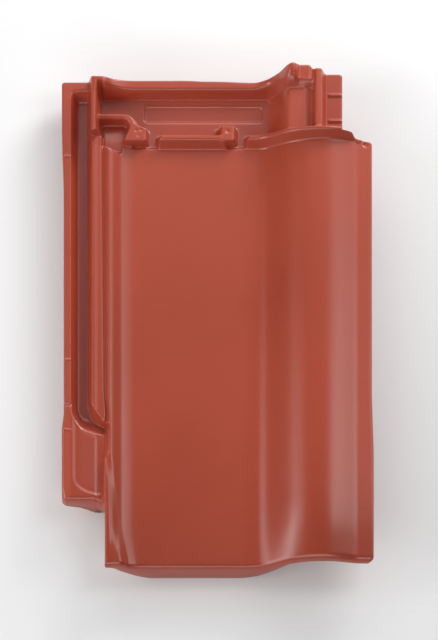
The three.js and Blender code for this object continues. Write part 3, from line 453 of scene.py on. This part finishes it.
def weather_side(x, y):
    """Height of the whole weather face."""
    body = body_face(x, y)
    lock = outlet_and_pad(lock_face(x, y), x, y)

    # Shoulder's left wall, which leans away from the lock and rounds into its crest.
    groove = groove_x(y)
    rise = ramp(x - groove, shoulder_crest(y) - groove, 0.3)
    body = mix(lock, body, 1 - (1 - rise) ** 2)

    # The shoulder ends short of the head lock; the pan runs up to the second rib.
    in_middle = (x > MIDDLE_RIB[0] + 1) & (x < MIDDLE_RIB[1])
    in_right = (x > RIGHT_RIB[0] + 1) & (x < RIGHT_RIB[1])
    end = np.where(x > 64, GAP_FRONT, shoulder_end(x))
    end = np.where(in_middle | in_right, second_front(x) + 6.5, end)
    in_head = ramp(y - end, 2.6, 1.0)
    head = head_face(x, y)
    beside = ramp(x - 35.6, 1.6, 0.7)
    zone = mix(lock, head, beside)
    crest = head_rib_front(x)
    corner = ramp(y - HEAD_RIB_FOOT, crest - HEAD_RIB_FOOT, 1.0) * ramp(x - 25.2, 2.6, 0.8)
    zone = mix(zone, np.maximum(zone, head_rib(x)), corner)
    pocket = ramp(x - 34.5, 4.0) * ramp(62.0 - x, 12.0) * ramp(432.0 - y, 16.0)
    zone = zone + POCKET_RISE * pocket
    z = mix(body, zone, in_head)

    z = second_rib(z, x, y, *MIDDLE_RIB)
    z = second_rib(z, x, y, *RIGHT_RIB)
    z = block(z, x, y, rectangle(*RIGHT_BOSS, 1.6), RIB_TOP, 2.4)
    z = block(z, x, y, rounded(LEFT_RIB, 1.4, 4), RIB_TOP, 2.4)
    for place in DIMPLES:
        z = dimple(z, x, y, *place)
    z = z - PLAQUE_DEPTH * ramp(inside(rectangle(*PLAQUE, 2.5), x, y) + 0.4, 1.0, 0.4)

    # The flange's head end, with its small lip and dent beside the rib.
    z = z + 1.8 * ramp(4.0 - np.hypot(x - FLANGE_LIP[0], y - FLANGE_LIP[1]), 2.4, 0.8)
    z = dimple(z, x, y, *FLANGE_DENT)

    # Small marks: gauge notch and ridges on the outer rib, cross ridges on the cover flange.
    on_rib = ramp(OUTER_RIB_X + 0.6 - x, 1.5)
    z = z - 1.3 * on_rib * ramp(1.9 - abs(y - NOTCH_Y), 1.6, 0.5)
    for mark in RIB_RIDGES_Y:
        z = z + 0.5 * on_rib * ramp(1.2 - abs(y - mark), 1.0, 0.4)
    on_shelf = ramp(x - 240.5, 1.5)
    for mark in FLANGE_RIDGES_Y:
        z = z + 1.4 * on_shelf * ramp(2.0 - abs(y - mark), 1.8, 0.5)
    return z


# ---- Underside -------------------------------------------------------------------------------

def underside(x, y):
    """Height of the under face: plain wall, thick foot, lock rib, nibs and cover ribs."""
    top = body_top(x)
    nose = ramp(NOSE_LENGTH + NOSE_RUN_OUT - y, NOSE_RUN_OUT, 3.0)
    body = mix(top - WALL, top - foot_wall(x), nose)
    lock = LOCK_UNDERSIDE + LOCK_EDGE_LIFT * ramp(14.5 - x, 14.5, 3.0)
    beside_cut = (x >= FOOT_CUT[0] - 0.01) & (y <= FOOT_CUT[1])
    body = np.where(beside_cut, body, mix(lock, body, ramp(x - 37.0, 14.0, 3.0)))
    sole = head_floor(np.minimum(x, 222.0))
    head = np.where(x > 222, np.minimum(head_floor(x), sole), sole) - WALL
    head = mix(lock, head, ramp(x - 28.0, 8.0, 2.0))
    z = mix(body, head, ramp(y - BODY_END - 2.0, 6.0, 2.0))

    long_rib = ramp(x - 16.0, 14.0, 2.0) * ramp(40.0 - x, 3.5, 1.0)
    z = mix(z, 0.0, long_rib * ramp(361.0 - y, 3.0, 1.0) * (y > FOOT_CUT[1] - 0.4))
    for centre in NIB_CENTRES:
        across = ramp(x - centre + NIB_HALF, 1.6, 0.6) * ramp(centre + NIB_HALF - x, 1.6, 0.6)
        along = ramp(y - NIB_Y[0], 1.4, 0.5) * ramp(NIB_Y[1] - y, 6.5, 1.2)
        z = mix(z, 0.0, across * along)
    for centre, tip, start, stop in COVER_RIBS:
        across = ramp(x - centre + COVER_RIB_HALF, 2.6, 0.8)
        across = across * ramp(centre + COVER_RIB_HALF - x, 2.6, 0.8)
        along = ramp(y - start, 3.0, 1.0) * ramp(stop - y, 3.0, 1.0)
        z = mix(z, np.minimum(z, tip), across * along)
    return z


# ---- Grid in plan ----------------------------------------------------------------------------

BLOCK = 4                       # fine cells along one side of a block


def stations(start, stretches):
    """Grid lines from start, through stretches of (end, step); each holds whole blocks."""
    out = [start]
    for end, step in stretches:
        count = BLOCK * math.ceil((end - out[-1]) / (BLOCK * step) - 1e-6)
        out.extend(np.linspace(out[-1], end, count + 1)[1:])
    return np.array(out)


def plan_grid():
    """Fine grid of the plan, bent to the tile's real outline, and the mask of its cells."""
    gx = stations(0.0, [(9, 0.5), (16, 0.5), (24, 0.9), (FOOT_CUT[0], 0.46), (66, 0.62), (78, 0.6),
                        (90, 0.8), (142, 2.6), (158, 0.7), (170, 0.8), (186, 0.9), (222, 1), (240, 0.5),
                        (SHELF_END, 0.7), (266, 0.8), (277, 1.2), (WIDTH, 0.45)])
    gy = stations(0.0, [(12, 0.55), (16, 1), (60, 2.75), (FOOT_CUT[1], 0.6), (84, 0.8), (124, 2.5),
                        (162, 0.6), (196, 2.2), (206, 0.6), (392, 6), (SHELF_START, 0.5), (420, 0.5),
                        (452, 0.6), (LENGTH, 0.5)])
    x, y = np.meshgrid(gx, gy, indexing="ij")
    centre_x = (x[:-1, :-1] + x[1:, 1:]) / 2
    centre_y = (y[:-1, :-1] + y[1:, 1:]) / 2
    kept = ~((centre_x < FOOT_CUT[0]) & (centre_y < FOOT_CUT[1]))
    kept &= ~((centre_x > SHELF_END) & (centre_y > SHELF_START))

    x, y = round_corner(x, y, 0, FOOT_CUT[1], 1, 1, CORNER_R)
    x, y = round_corner(x, y, WIDTH, 0, -1, 1, FOOT_CORNER_R)
    x, y = round_corner(x, y, WIDTH, SHELF_START, -1, -1, CORNER_R)
    x, y = round_corner(x, y, 0, LENGTH, 1, -1, 3.0)
    x, y = round_corner(x, y, SHELF_END, LENGTH, -1, -1, 2.5, limit=SHELF_END)
    x, y = round_corner(x, y, FOOT_CUT[0], 0, 1, 1, 1.2, low=FOOT_CUT[0] - 0.01)

    # Long edges stand in, except near the foot; the lock's edge comes out again at its head.
    left = left_inset(y)
    right = right_inset(y)
    x = x + left * np.clip(1 - x / 6.0, 0, 1)
    x = x - right * np.clip((x - 262.0) / (WIDTH - 262.0), 0, 1)

    # The lock's end curves into the body's edge.
    rising = np.clip((x - 24.0) / 14.8, 0, 1) ** 2.2
    curve = np.where(x < FOOT_CUT[0], rising, np.clip(1 - (x - FOOT_CUT[0]) / 24, 0, 1))
    y = y - 6.5 * curve * lock_end_pull(y)

    # Head edge, and the roll's end beside the cover flange.
    stretch = np.clip((y - 452.0) / (LENGTH - 452.0), 0, 1)
    y = y + (head_edge(x) - LENGTH) * stretch * (x < SHELF_END + 0.01)
    shrink = np.clip((y - 396.0) / (SHELF_START - 396.0), 0, 1) * (x > SHELF_END)
    y = y + (flange_end(x) - SHELF_START) * np.where(y <= SHELF_START + 1e-6, shrink, 0)
    return x, y, kept


def round_corner(x, y, cx, cy, sx, sy, r, limit=None, low=None):
    """Bends the grid's corner at (cx, cy) to radius r; sx and sy point into the tile."""
    a = 1 - (x - cx) * sx / r
    b = 1 - (y - cy) * sy / r
    here = (a > 0) & (b > 0) & (a < 1 + 1e-6) & (b < 1 + 1e-6)
    if limit is not None:
        here &= x <= limit + 1e-6
    if low is not None:
        here &= x >= low
    length = np.hypot(a, b)
    scale = np.where(here & (length > 0), np.maximum(a, b) / np.where(length > 0, length, 1), 1)
    new_x = cx + sx * r * (1 - a * scale)
    new_y = cy + sy * r * (1 - b * scale)
    return np.where(here, new_x, x), np.where(here, new_y, y)


def boundary_nodes(kept):
    """Ordered loop of (i, j) nodes round the kept cells, counter-clockwise from above."""
    ni, nj = kept.shape
    padded = np.zeros((ni + 2, nj + 2), bool)
    padded[1:-1, 1:-1] = kept
    step = {}
    for i, j in zip(*np.nonzero(padded[1:-1, 1:-1] & ~padded[1:-1, :-2])):
        step[(i, j)] = (i + 1, j)
    for i, j in zip(*np.nonzero(padded[1:-1, 1:-1] & ~padded[2:, 1:-1])):
        step[(i + 1, j)] = (i + 1, j + 1)
    for i, j in zip(*np.nonzero(padded[1:-1, 1:-1] & ~padded[1:-1, 2:])):
        step[(i + 1, j + 1)] = (i, j + 1)
    for i, j in zip(*np.nonzero(padded[1:-1, 1:-1] & ~padded[:-2, 1:-1])):
        step[(i, j + 1)] = (i, j)
    start = next(iter(step))
    loop = [start]
    while step[loop[-1]] != start:
        loop.append(step[loop[-1]])
    return loop


def rim_distance(x, y, loop, reach):
    """Distance of each node from the outline, up to reach."""
    points = np.array([(x[n], y[n]) for n in loop])
    best = np.full(x.shape, reach)

    # Only the nodes near an edge of the plan are measured.
    near = (x < 9) | (x > 248) | (y < FOOT_CUT[1] + 9) | (y > 455) | ((x < 48) & (y < 75))
    qx, qy = x[near], y[near]
    nearest = np.full(qx.shape, reach)
    for k in range(0, len(points), 2):
        ax, ay = points[k]
        bx, by = points[(k + 2) % len(points)]
        ex, ey = bx - ax, by - ay
        size = ex * ex + ey * ey
        box = ((qx > min(ax, bx) - reach) & (qx < max(ax, bx) + reach)
               & (qy > min(ay, by) - reach) & (qy < max(ay, by) + reach))
        t = np.clip(((qx[box] - ax) * ex + (qy[box] - ay) * ey) / max(size, 1e-9), 0, 1)
        distance = np.hypot(qx[box] - ax - t * ex, qy[box] - ay - t * ey)
        nearest[box] = np.minimum(nearest[box], distance)
    best[near] = nearest
    for n in loop:
        best[n] = 0.0
    return best


def fall(distance, r):
    """How far a rim of radius r has dropped at a distance inside the outline."""
    back = np.clip(r - distance, 0, r)
    return r - np.sqrt(r * r - back * back)


# ---- Mesh ------------------------------------------------------------------------------------

def block_levels(points, tolerance):
    """For each block: 0 as one cell, 1 as four cells, 2 as all its fine cells."""
    ni, nj = (points.shape[0] - 1) // BLOCK, (points.shape[1] - 1) // BLOCK
    level = np.zeros((ni, nj), int)
    for size, mark in ((BLOCK, 1), (BLOCK // 2, 2)):
        count_i, count_j = ni * BLOCK // size, nj * BLOCK // size
        corner = points[::size, ::size]
        worst = np.zeros((count_i, count_j))
        for a in range(size + 1):
            for b in range(size + 1):
                u, v = a / size, b / size
                flat = ((1 - u) * (1 - v) * corner[:-1, :-1] + u * (1 - v) * corner[1:, :-1]
                        + (1 - u) * v * corner[:-1, 1:] + u * v * corner[1:, 1:])
                rows = slice(a, a + (count_i - 1) * size + 1, size)
                columns = slice(b, b + (count_j - 1) * size + 1, size)
                real = points[rows, columns]
                worst = np.maximum(worst, np.linalg.norm(real - flat, axis=2))
        if size < BLOCK:
            worst = np.maximum.reduce([worst[0::2, 0::2], worst[1::2, 0::2],
                                       worst[0::2, 1::2], worst[1::2, 1::2]])
        level = np.where((worst > tolerance) & (level >= mark - 1), mark, level)
    return level


def sheet_faces(points, kept, loop, tolerance):
    """Faces of one surface as lists of (i, j) nodes, finer where it bends."""
    level = block_levels(points, tolerance)
    used = np.zeros(points.shape[:2], bool)
    cells = []
    for bi, bj in np.ndindex(level.shape):
        i0, j0 = bi * BLOCK, bj * BLOCK
        if not kept[i0, j0]:
            continue
        size = BLOCK >> level[bi, bj]
        for i in range(i0, i0 + BLOCK, size):
            for j in range(j0, j0 + BLOCK, size):
                cells.append((i, j, size))
        used[i0:i0 + BLOCK + 1:size, j0:j0 + BLOCK + 1:size] = True
    for node in loop:
        used[node] = True
    faces = []
    for i, j, s in cells:
        if s == 1:
            faces.append([(i, j), (i + 1, j), (i + 1, j + 1), (i, j + 1)])
            continue
        ring = [(i + k, j) for k in range(s)] + [(i + s, j + k) for k in range(s)]
        ring += [(i + s - k, j + s) for k in range(s)] + [(i, j + s - k) for k in range(s)]
        faces.append([node for node in ring if used[node]])
    return faces


def tile_mesh():
    """The whole tile as one closed mesh, with the share of painted shade and sheen at each of its
    points.
    """
    x, y, kept = plan_grid()
    loop = boundary_nodes(kept)
    distance = rim_distance(x, y, loop, 8.0)
    top = weather_side(x, y)
    low = underside(x, y)
    lock_end = np.clip((FOOT_CUT[1] + 12 - y) / 8.0, 0, 1) * (x < FOOT_CUT[0] - 0.01)
    radius = RIM_R + lock_end * (2.6 + 3.6 * np.clip((x - 24.0) / 12.0, 0, 1))
    radius = radius + 0.5 * np.clip((158.0 - y) / 16.0, 0, 1) * (x < 9) * (1 - lock_end)
    top = top - fall(distance, radius) * (y > 2)
    low = low + fall(distance, LOW_RIM_R + 1.8 * np.clip(1 - y / 8.0, 0, 1))
    low = np.minimum(low, top - THINNEST)
    sheets = []
    for z, tolerance in ((top, 0.035), (low, 0.09)):
        points = np.stack([x, y, z], axis=2)
        sheets.append((points, sheet_faces(points, kept, loop, tolerance)))
    index = {}
    verts = []
    faces = []
    for side, (points, cells) in enumerate(sheets):
        for cell in cells:
            face = []
            for node in cell if side == 0 else reversed(cell):
                key = (side, node)
                if key not in index:
                    index[key] = len(verts)
                    verts.append(points[node])
                face.append(index[key])
            faces.append(face)
    for a, b in zip(loop, loop[1:] + loop[:1]):
        faces.append([index[(0, b)], index[(0, a)], index[(1, a)], index[(1, b)]])
    verts = np.array(verts)
    on_top = np.array([side == 0 for side, _ in index])
    place = verts[:, 0], verts[:, 1]
    return verts, faces, hollow_map()(*place) * on_top * shade_sheen_kept(*place)


def shade_sheen_kept(x, y):
    """Share of the painted shade and sheen that a place keeps: all of it only in the side gutter and
    the two gaps of the second rib.
    """
    gaps = (y > 404) & (y < 430) & ((abs(x - 81) < 6) | (abs(x - 158) < 8))
    return np.where((x < 27) | gaps, 1.0, 0.25)


def hollow_map():
    """How far the weather face lies below the mean height round it, from 0 to 1, as a lookup."""
    step, reach = 2.0, 6
    across = np.arange(0, WIDTH + step, step)
    along = np.arange(0, LENGTH + step, step)
    z = weather_side(*np.meshgrid(across, along, indexing="ij"))
    padded = np.pad(z, reach, mode="edge")
    window = 2 * reach + 1
    rows = sum(padded[shift:shift + z.shape[0]] for shift in range(window)) / window
    mean = sum(rows[:, shift:shift + z.shape[1]] for shift in range(window)) / window
    depth = np.clip((mean - z) / HOLLOW_DEPTH, 0, 1)

    def at(px, py):
        i = np.clip(px / step, 0, depth.shape[0] - 1.001)
        j = np.clip(py / step, 0, depth.shape[1] - 1.001)
        i0, j0 = i.astype(int), j.astype(int)
        u, v = i - i0, j - j0
        return ((1 - u) * (1 - v) * depth[i0, j0] + u * (1 - v) * depth[i0 + 1, j0]
                + (1 - u) * v * depth[i0, j0 + 1] + u * v * depth[i0 + 1, j0 + 1])

    return at


def to_row(points):
    """Tile millimetres to metres of the row frame."""
    return points * MM + np.array([CAD_LOW.x, CAD_LOW.y, 0.0])


def build_tile():
    """The dressed tile, which stands for the CAD node and rides on its body."""
    verts, faces, shade_and_sheen = tile_mesh()
    mesh = bpy.data.meshes.new("roof_tile_visual")
    mesh.from_pydata(to_row(verts).tolist(), [], faces)
    mesh.validate()
    mesh.update()
    mesh.polygons.foreach_set("use_smooth", [True] * len(mesh.polygons))
    up = np.clip(add_relief(mesh), 0, 1)
    # Painted shade with a painted sheen in hollows, and a painted sheen on the stepped panel, on faces
    # turned up.
    pad_sheen = PAD_SHEEN * ramp(inside(PAD, verts[:, 0], verts[:, 1]) - 2.0, 5.0)
    shade_sheen_mask = np.maximum(shade_and_sheen, pad_sheen) * up ** 6
    store(mesh, "shade_and_sheen", shade_sheen_mask)
    piece = bpy.data.objects.new("roof_tile_visual", mesh)
    bpy.context.collection.objects.link(piece)
    mesh.materials.append(engobed_clay())
    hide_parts(NODE)
    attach(piece, "root")


def store(mesh, name, values):
    """Keeps one number for each point of the mesh, for the material to read."""
    attribute = mesh.attributes.new(name, "FLOAT", "POINT")
    attribute.data.foreach_set("value", values.astype(np.float32))


def add_relief(mesh):
    """Stores how far each point stands out of the surface round it, with the outer rib's painted
    highlight, and the painted shade towards the foot.

    Returns how far each point faces up.
    """
    count = len(mesh.vertices)
    co = np.empty(count * 3)
    mesh.vertices.foreach_get("co", co)
    co = co.reshape(-1, 3)
    normal = np.empty(count * 3)
    mesh.vertices.foreach_get("normal", normal)
    normal = normal.reshape(-1, 3)
    ends = np.empty(len(mesh.edges) * 2, int)
    mesh.edges.foreach_get("vertices", ends)
    a, b = ends.reshape(-1, 2).T
    offset = co[b] - co[a]
    length = np.maximum(np.linalg.norm(offset, axis=1), 1e-6)
    bend = np.einsum("ij,ij->i", normal[b] - normal[a], offset) / length ** 2
    total = np.zeros(count)
    weight = np.zeros(count)
    for end in (a, b):
        np.add.at(total, end, bend)
        np.add.at(weight, end, 1)
    relief = total / np.maximum(weight, 1)
    for _ in range(RELIEF_PASSES):
        total = relief.copy()
        weight = np.ones(count)
        np.add.at(total, a, relief[b])
        np.add.at(total, b, relief[a])
        np.add.at(weight, a, 1)
        np.add.at(weight, b, 1)
        relief = total / weight
    curve = np.clip(relief * MM * RELIEF_GAIN, -1, 1)
    x = (co[:, 0] - CAD_LOW.x) / MM
    y = (co[:, 1] - CAD_LOW.y) / MM
    up = np.clip(normal[:, 2], 0, 1) ** 2
    # Painted highlight: the outer rib turns paler towards the foot on faces turned up; it rides in the
    # relief and takes the worn edges' colour.
    rib_highlight = ramp(OUTER_RIB_X - x, 1.5) * ramp(RIB_HIGHLIGHT_FROM - y, RIB_HIGHLIGHT_RUN) * up
    curve = np.maximum(curve, 0.9 * rib_highlight)
    # Painted shade: faces turned up darken towards the foot.
    store(mesh, "foot_shade", ramp(FOOT_SHADE_FROM - y, FOOT_SHADE_FROM) * up)
    store(mesh, "relief", curve)
    return normal[:, 2]


# ---- Material --------------------------------------------------------------------------------

def node(tree, kind, place, **settings):
    """A new node with its settings."""
    made = tree.nodes.new(kind)
    made.location = place
    for key, value in settings.items():
        setattr(made, key, value)
    return made


def stored(tree, place, name):
    """What store() kept under this name."""
    return node(tree, "ShaderNodeAttribute", place, attribute_name=name).outputs["Fac"]


def noise(tree, place, vector, scale, detail):
    """Noise with scale cycles to the metre."""
    made = node(tree, "ShaderNodeTexNoise", place)
    made.inputs["Scale"].default_value = scale
    made.inputs["Detail"].default_value = detail
    tree.links.new(vector, made.inputs["Vector"])
    return made.outputs["Fac"]


def rescaled(tree, place, value, old, new):
    """The value moved from the old range to the new one, and held inside it."""
    made = node(tree, "ShaderNodeMapRange", place)
    for side, name in enumerate(("Min", "Max")):
        made.inputs["From " + name].default_value = old[side]
        made.inputs["To " + name].default_value = new[side]
    tree.links.new(value, made.inputs["Value"])
    return made.outputs["Result"]


def two_tones(tree, place, value, low, high):
    """Colour between two stops, each a position and a colour."""
    made = node(tree, "ShaderNodeValToRGB", place)
    for stop, (position, colour) in zip(made.color_ramp.elements, (low, high)):
        stop.position = position
        stop.color = colour
    tree.links.new(value, made.inputs["Fac"])
    return made.outputs["Color"]


def tinted(tree, place, under, colour, share):
    """The colour under, mixed with another by a share."""
    made = node(tree, "ShaderNodeMix", place, data_type="RGBA")
    made.inputs["B"].default_value = colour
    tree.links.new(share, made.inputs["Factor"])
    tree.links.new(under, made.inputs["A"])
    return made.outputs["Result"]


def engobed_clay():
    """Satin brown-red engobe: grain, slow colour drift, pale worn edges and dust, with painted shade
    towards the foot, a painted highlight on the outer rib, and painted shade with sheen in hollows.
    """
    material = bpy.data.materials.new("engobed_clay")
    material.use_nodes = True
    tree = material.node_tree
    link = tree.links.new
    shader = tree.nodes["Principled BSDF"]
    place = node(tree, "ShaderNodeTexCoord", (-1400, 0)).outputs["Object"]
    drift = noise(tree, (-1200, 300), place, 9.0, 3.0)
    fine = noise(tree, (-1200, 0), place, 420.0, 4.0)
    grain = noise(tree, (-1200, -300), place, 1300.0, 2.0)
    relief = stored(tree, (-1200, 600), "relief")

    # The engobe itself: slow drift and a fine speckle, with a painted shade that darkens it towards the
    # foot.
    colour = two_tones(tree, (-950, 300), drift, (0.30, ENGOBE_DARK), (0.70, ENGOBE_LIGHT))
    foot_shade = stored(tree, (-1200, 1100), "foot_shade")
    shade = rescaled(tree, (-950, 1100), foot_shade, (0, 1), (0, FOOT_SHADE_AMOUNT))
    colour = tinted(tree, (-820, 450), colour, BLACK, shade)
    tone = two_tones(tree, (-950, 0), fine, (0.35, SPECKLE), (0.65, WHITE))
    speckle = node(tree, "ShaderNodeMix", (-700, 300), data_type="RGBA", blend_type="MULTIPLY")
    speckle.inputs["Factor"].default_value = 1.0
    link(colour, speckle.inputs["A"])
    link(tone, speckle.inputs["B"])
    colour = speckle.outputs["Result"]

    # Edges wear paler and the outer rib gets a painted highlight; creases hold dust; hollows and the
    # stepped panel get a painted shade with a painted sheen.
    wear_and_highlight = rescaled(tree, (-950, 600), relief, (0.25, 0.9), (0, WEAR_AND_HIGHLIGHT_SHARE))
    colour = tinted(tree, (-450, 300), colour, WEAR_AND_HIGHLIGHT, wear_and_highlight)
    dusty = rescaled(tree, (-950, 850), relief, (-0.2, -0.9), (0, DUST_SHARE))
    colour = tinted(tree, (-250, 300), colour, CREASE_DUST, dusty)
    shade_and_sheen = stored(tree, (-700, 900), "shade_and_sheen")
    shade_sheen_share = rescaled(tree, (-450, 900), shade_and_sheen, (0.10, 0.55), (0, SHADE_SHEEN_SHARE))
    colour = tinted(tree, (-50, 300), colour, SHADE_SHEEN_COLOUR, shade_sheen_share)
    link(colour, shader.inputs["Base Color"])

    gloss = rescaled(tree, (-700, -100), fine, (0, 1), ROUGHNESS)
    link(gloss, shader.inputs["Roughness"])
    shader.inputs["Specular IOR Level"].default_value = 0.75
    bump = node(tree, "ShaderNodeBump", (-450, -300))
    bump.inputs["Strength"].default_value = BUMP_STRENGTH
    bump.inputs["Distance"].default_value = BUMP_HEIGHT
    link(grain, bump.inputs["Height"])
    link(bump.outputs["Normal"], shader.inputs["Normal"])
    return material


def pale_floor():
    """Pale floor that glows a little for the camera and reflections, and keeps the shadow."""
    material = bpy.data.materials.new("pale_floor")
    material.use_nodes = True
    tree = material.node_tree
    link = tree.links.new
    shader = tree.nodes["Principled BSDF"]
    shader.inputs["Base Color"].default_value = (0.8, 0.8, 0.8, 1)
    shader.inputs["Roughness"].default_value = 0.9
    shader.inputs["Specular IOR Level"].default_value = 0.1
    shader.inputs["Emission Color"].default_value = WHITE
    path = node(tree, "ShaderNodeLightPath", (-700, 0))
    seen = node(tree, "ShaderNodeMath", (-500, 0), operation="MAXIMUM")
    link(path.outputs["Is Camera Ray"], seen.inputs[0])
    link(path.outputs["Is Glossy Ray"], seen.inputs[1])
    seen_through = node(tree, "ShaderNodeMath", (-300, 0), operation="MAXIMUM")
    link(seen.outputs["Value"], seen_through.inputs[0])
    link(path.outputs["Is Transmission Ray"], seen_through.inputs[1])
    glow = node(tree, "ShaderNodeMath", (-150, 0), operation="MULTIPLY")
    glow.inputs[1].default_value = FLOOR_GLOW
    link(seen_through.outputs["Value"], glow.inputs[0])
    link(glow.outputs["Value"], shader.inputs["Emission Strength"])
    return material


# ---- Stage -----------------------------------------------------------------------------------

def build_camera():
    """Camera over the foot side, with no perspective, as the photograph has none to be seen."""
    data = bpy.data.cameras.new("camera")
    data.type = "ORTHO"
    data.ortho_scale = FRAME_HEIGHT / PIXELS_PER_MM * MM
    data.clip_end = 20
    camera = bpy.data.objects.new("camera", data)
    tilt = math.radians(90 - CAMERA_ELEVATION)
    camera.rotation_euler = (tilt, 0, 0)
    target = to_row(np.array(VIEW_CENTRE))
    back = Vector((0, -math.sin(tilt), math.cos(tilt)))
    camera.location = Vector(target) + back * CAMERA_DISTANCE
    bpy.context.collection.objects.link(camera)
    bpy.context.scene.camera = camera


def softbox(name, place, size, watts):
    """White rectangular lamp that points at the tile."""
    data = bpy.data.lights.new(name, "AREA")
    data.shape = "RECTANGLE"
    data.size, data.size_y = size
    data.energy = watts
    lamp = bpy.data.objects.new(name, data)
    lamp.location = place
    aim = Vector(LAMP_TARGET) - Vector(place)
    lamp.rotation_euler = aim.to_track_quat("-Z", "Y").to_euler()
    bpy.context.collection.objects.link(lamp)


def build_stage():
    """Pale floor, dim even sky and seven soft lamps."""
    mesh = bpy.data.meshes.new("floor")
    corners = [(-1, -1), (1, -1), (1, 1), (-1, 1)]
    mesh.from_pydata([(FLOOR_HALF * a, FLOOR_HALF * b, 0) for a, b in corners], [], [(0, 1, 2, 3)])
    floor = bpy.data.objects.new("floor", mesh)
    floor.location = (0, 0, -FLOOR_GAP)
    bpy.context.collection.objects.link(floor)
    mesh.materials.append(pale_floor())

    world = bpy.data.worlds.new("studio")
    world.use_nodes = True
    world.node_tree.nodes["Background"].inputs["Strength"].default_value = SKY_STRENGTH
    bpy.context.scene.world = world

    softbox("window", (0.7, 0.18, 1.0), (0.5, 0.8), 3.4)
    softbox("left", (-1.25, -0.45, 0.75), (1.2, 0.6), 9.6)
    softbox("upper_left", (-0.85, 0.1, 0.72), (0.4, 0.5), 1.6)
    softbox("head", (0.1, 1.15, 0.78), (1.5, 0.5), 5.4)
    softbox("head_high", (0.05, 0.85, 1.0), (1.3, 0.4), 2.0)
    softbox("head_right", (0.6, 1.05, 0.5), (0.6, 0.4), 10)
    softbox("foot", (-0.2, -1.3, 0.9), (1.4, 0.5), 7)
    bpy.context.scene.view_settings.view_transform = "Standard"


build_camera()
build_stage()
build_tile()
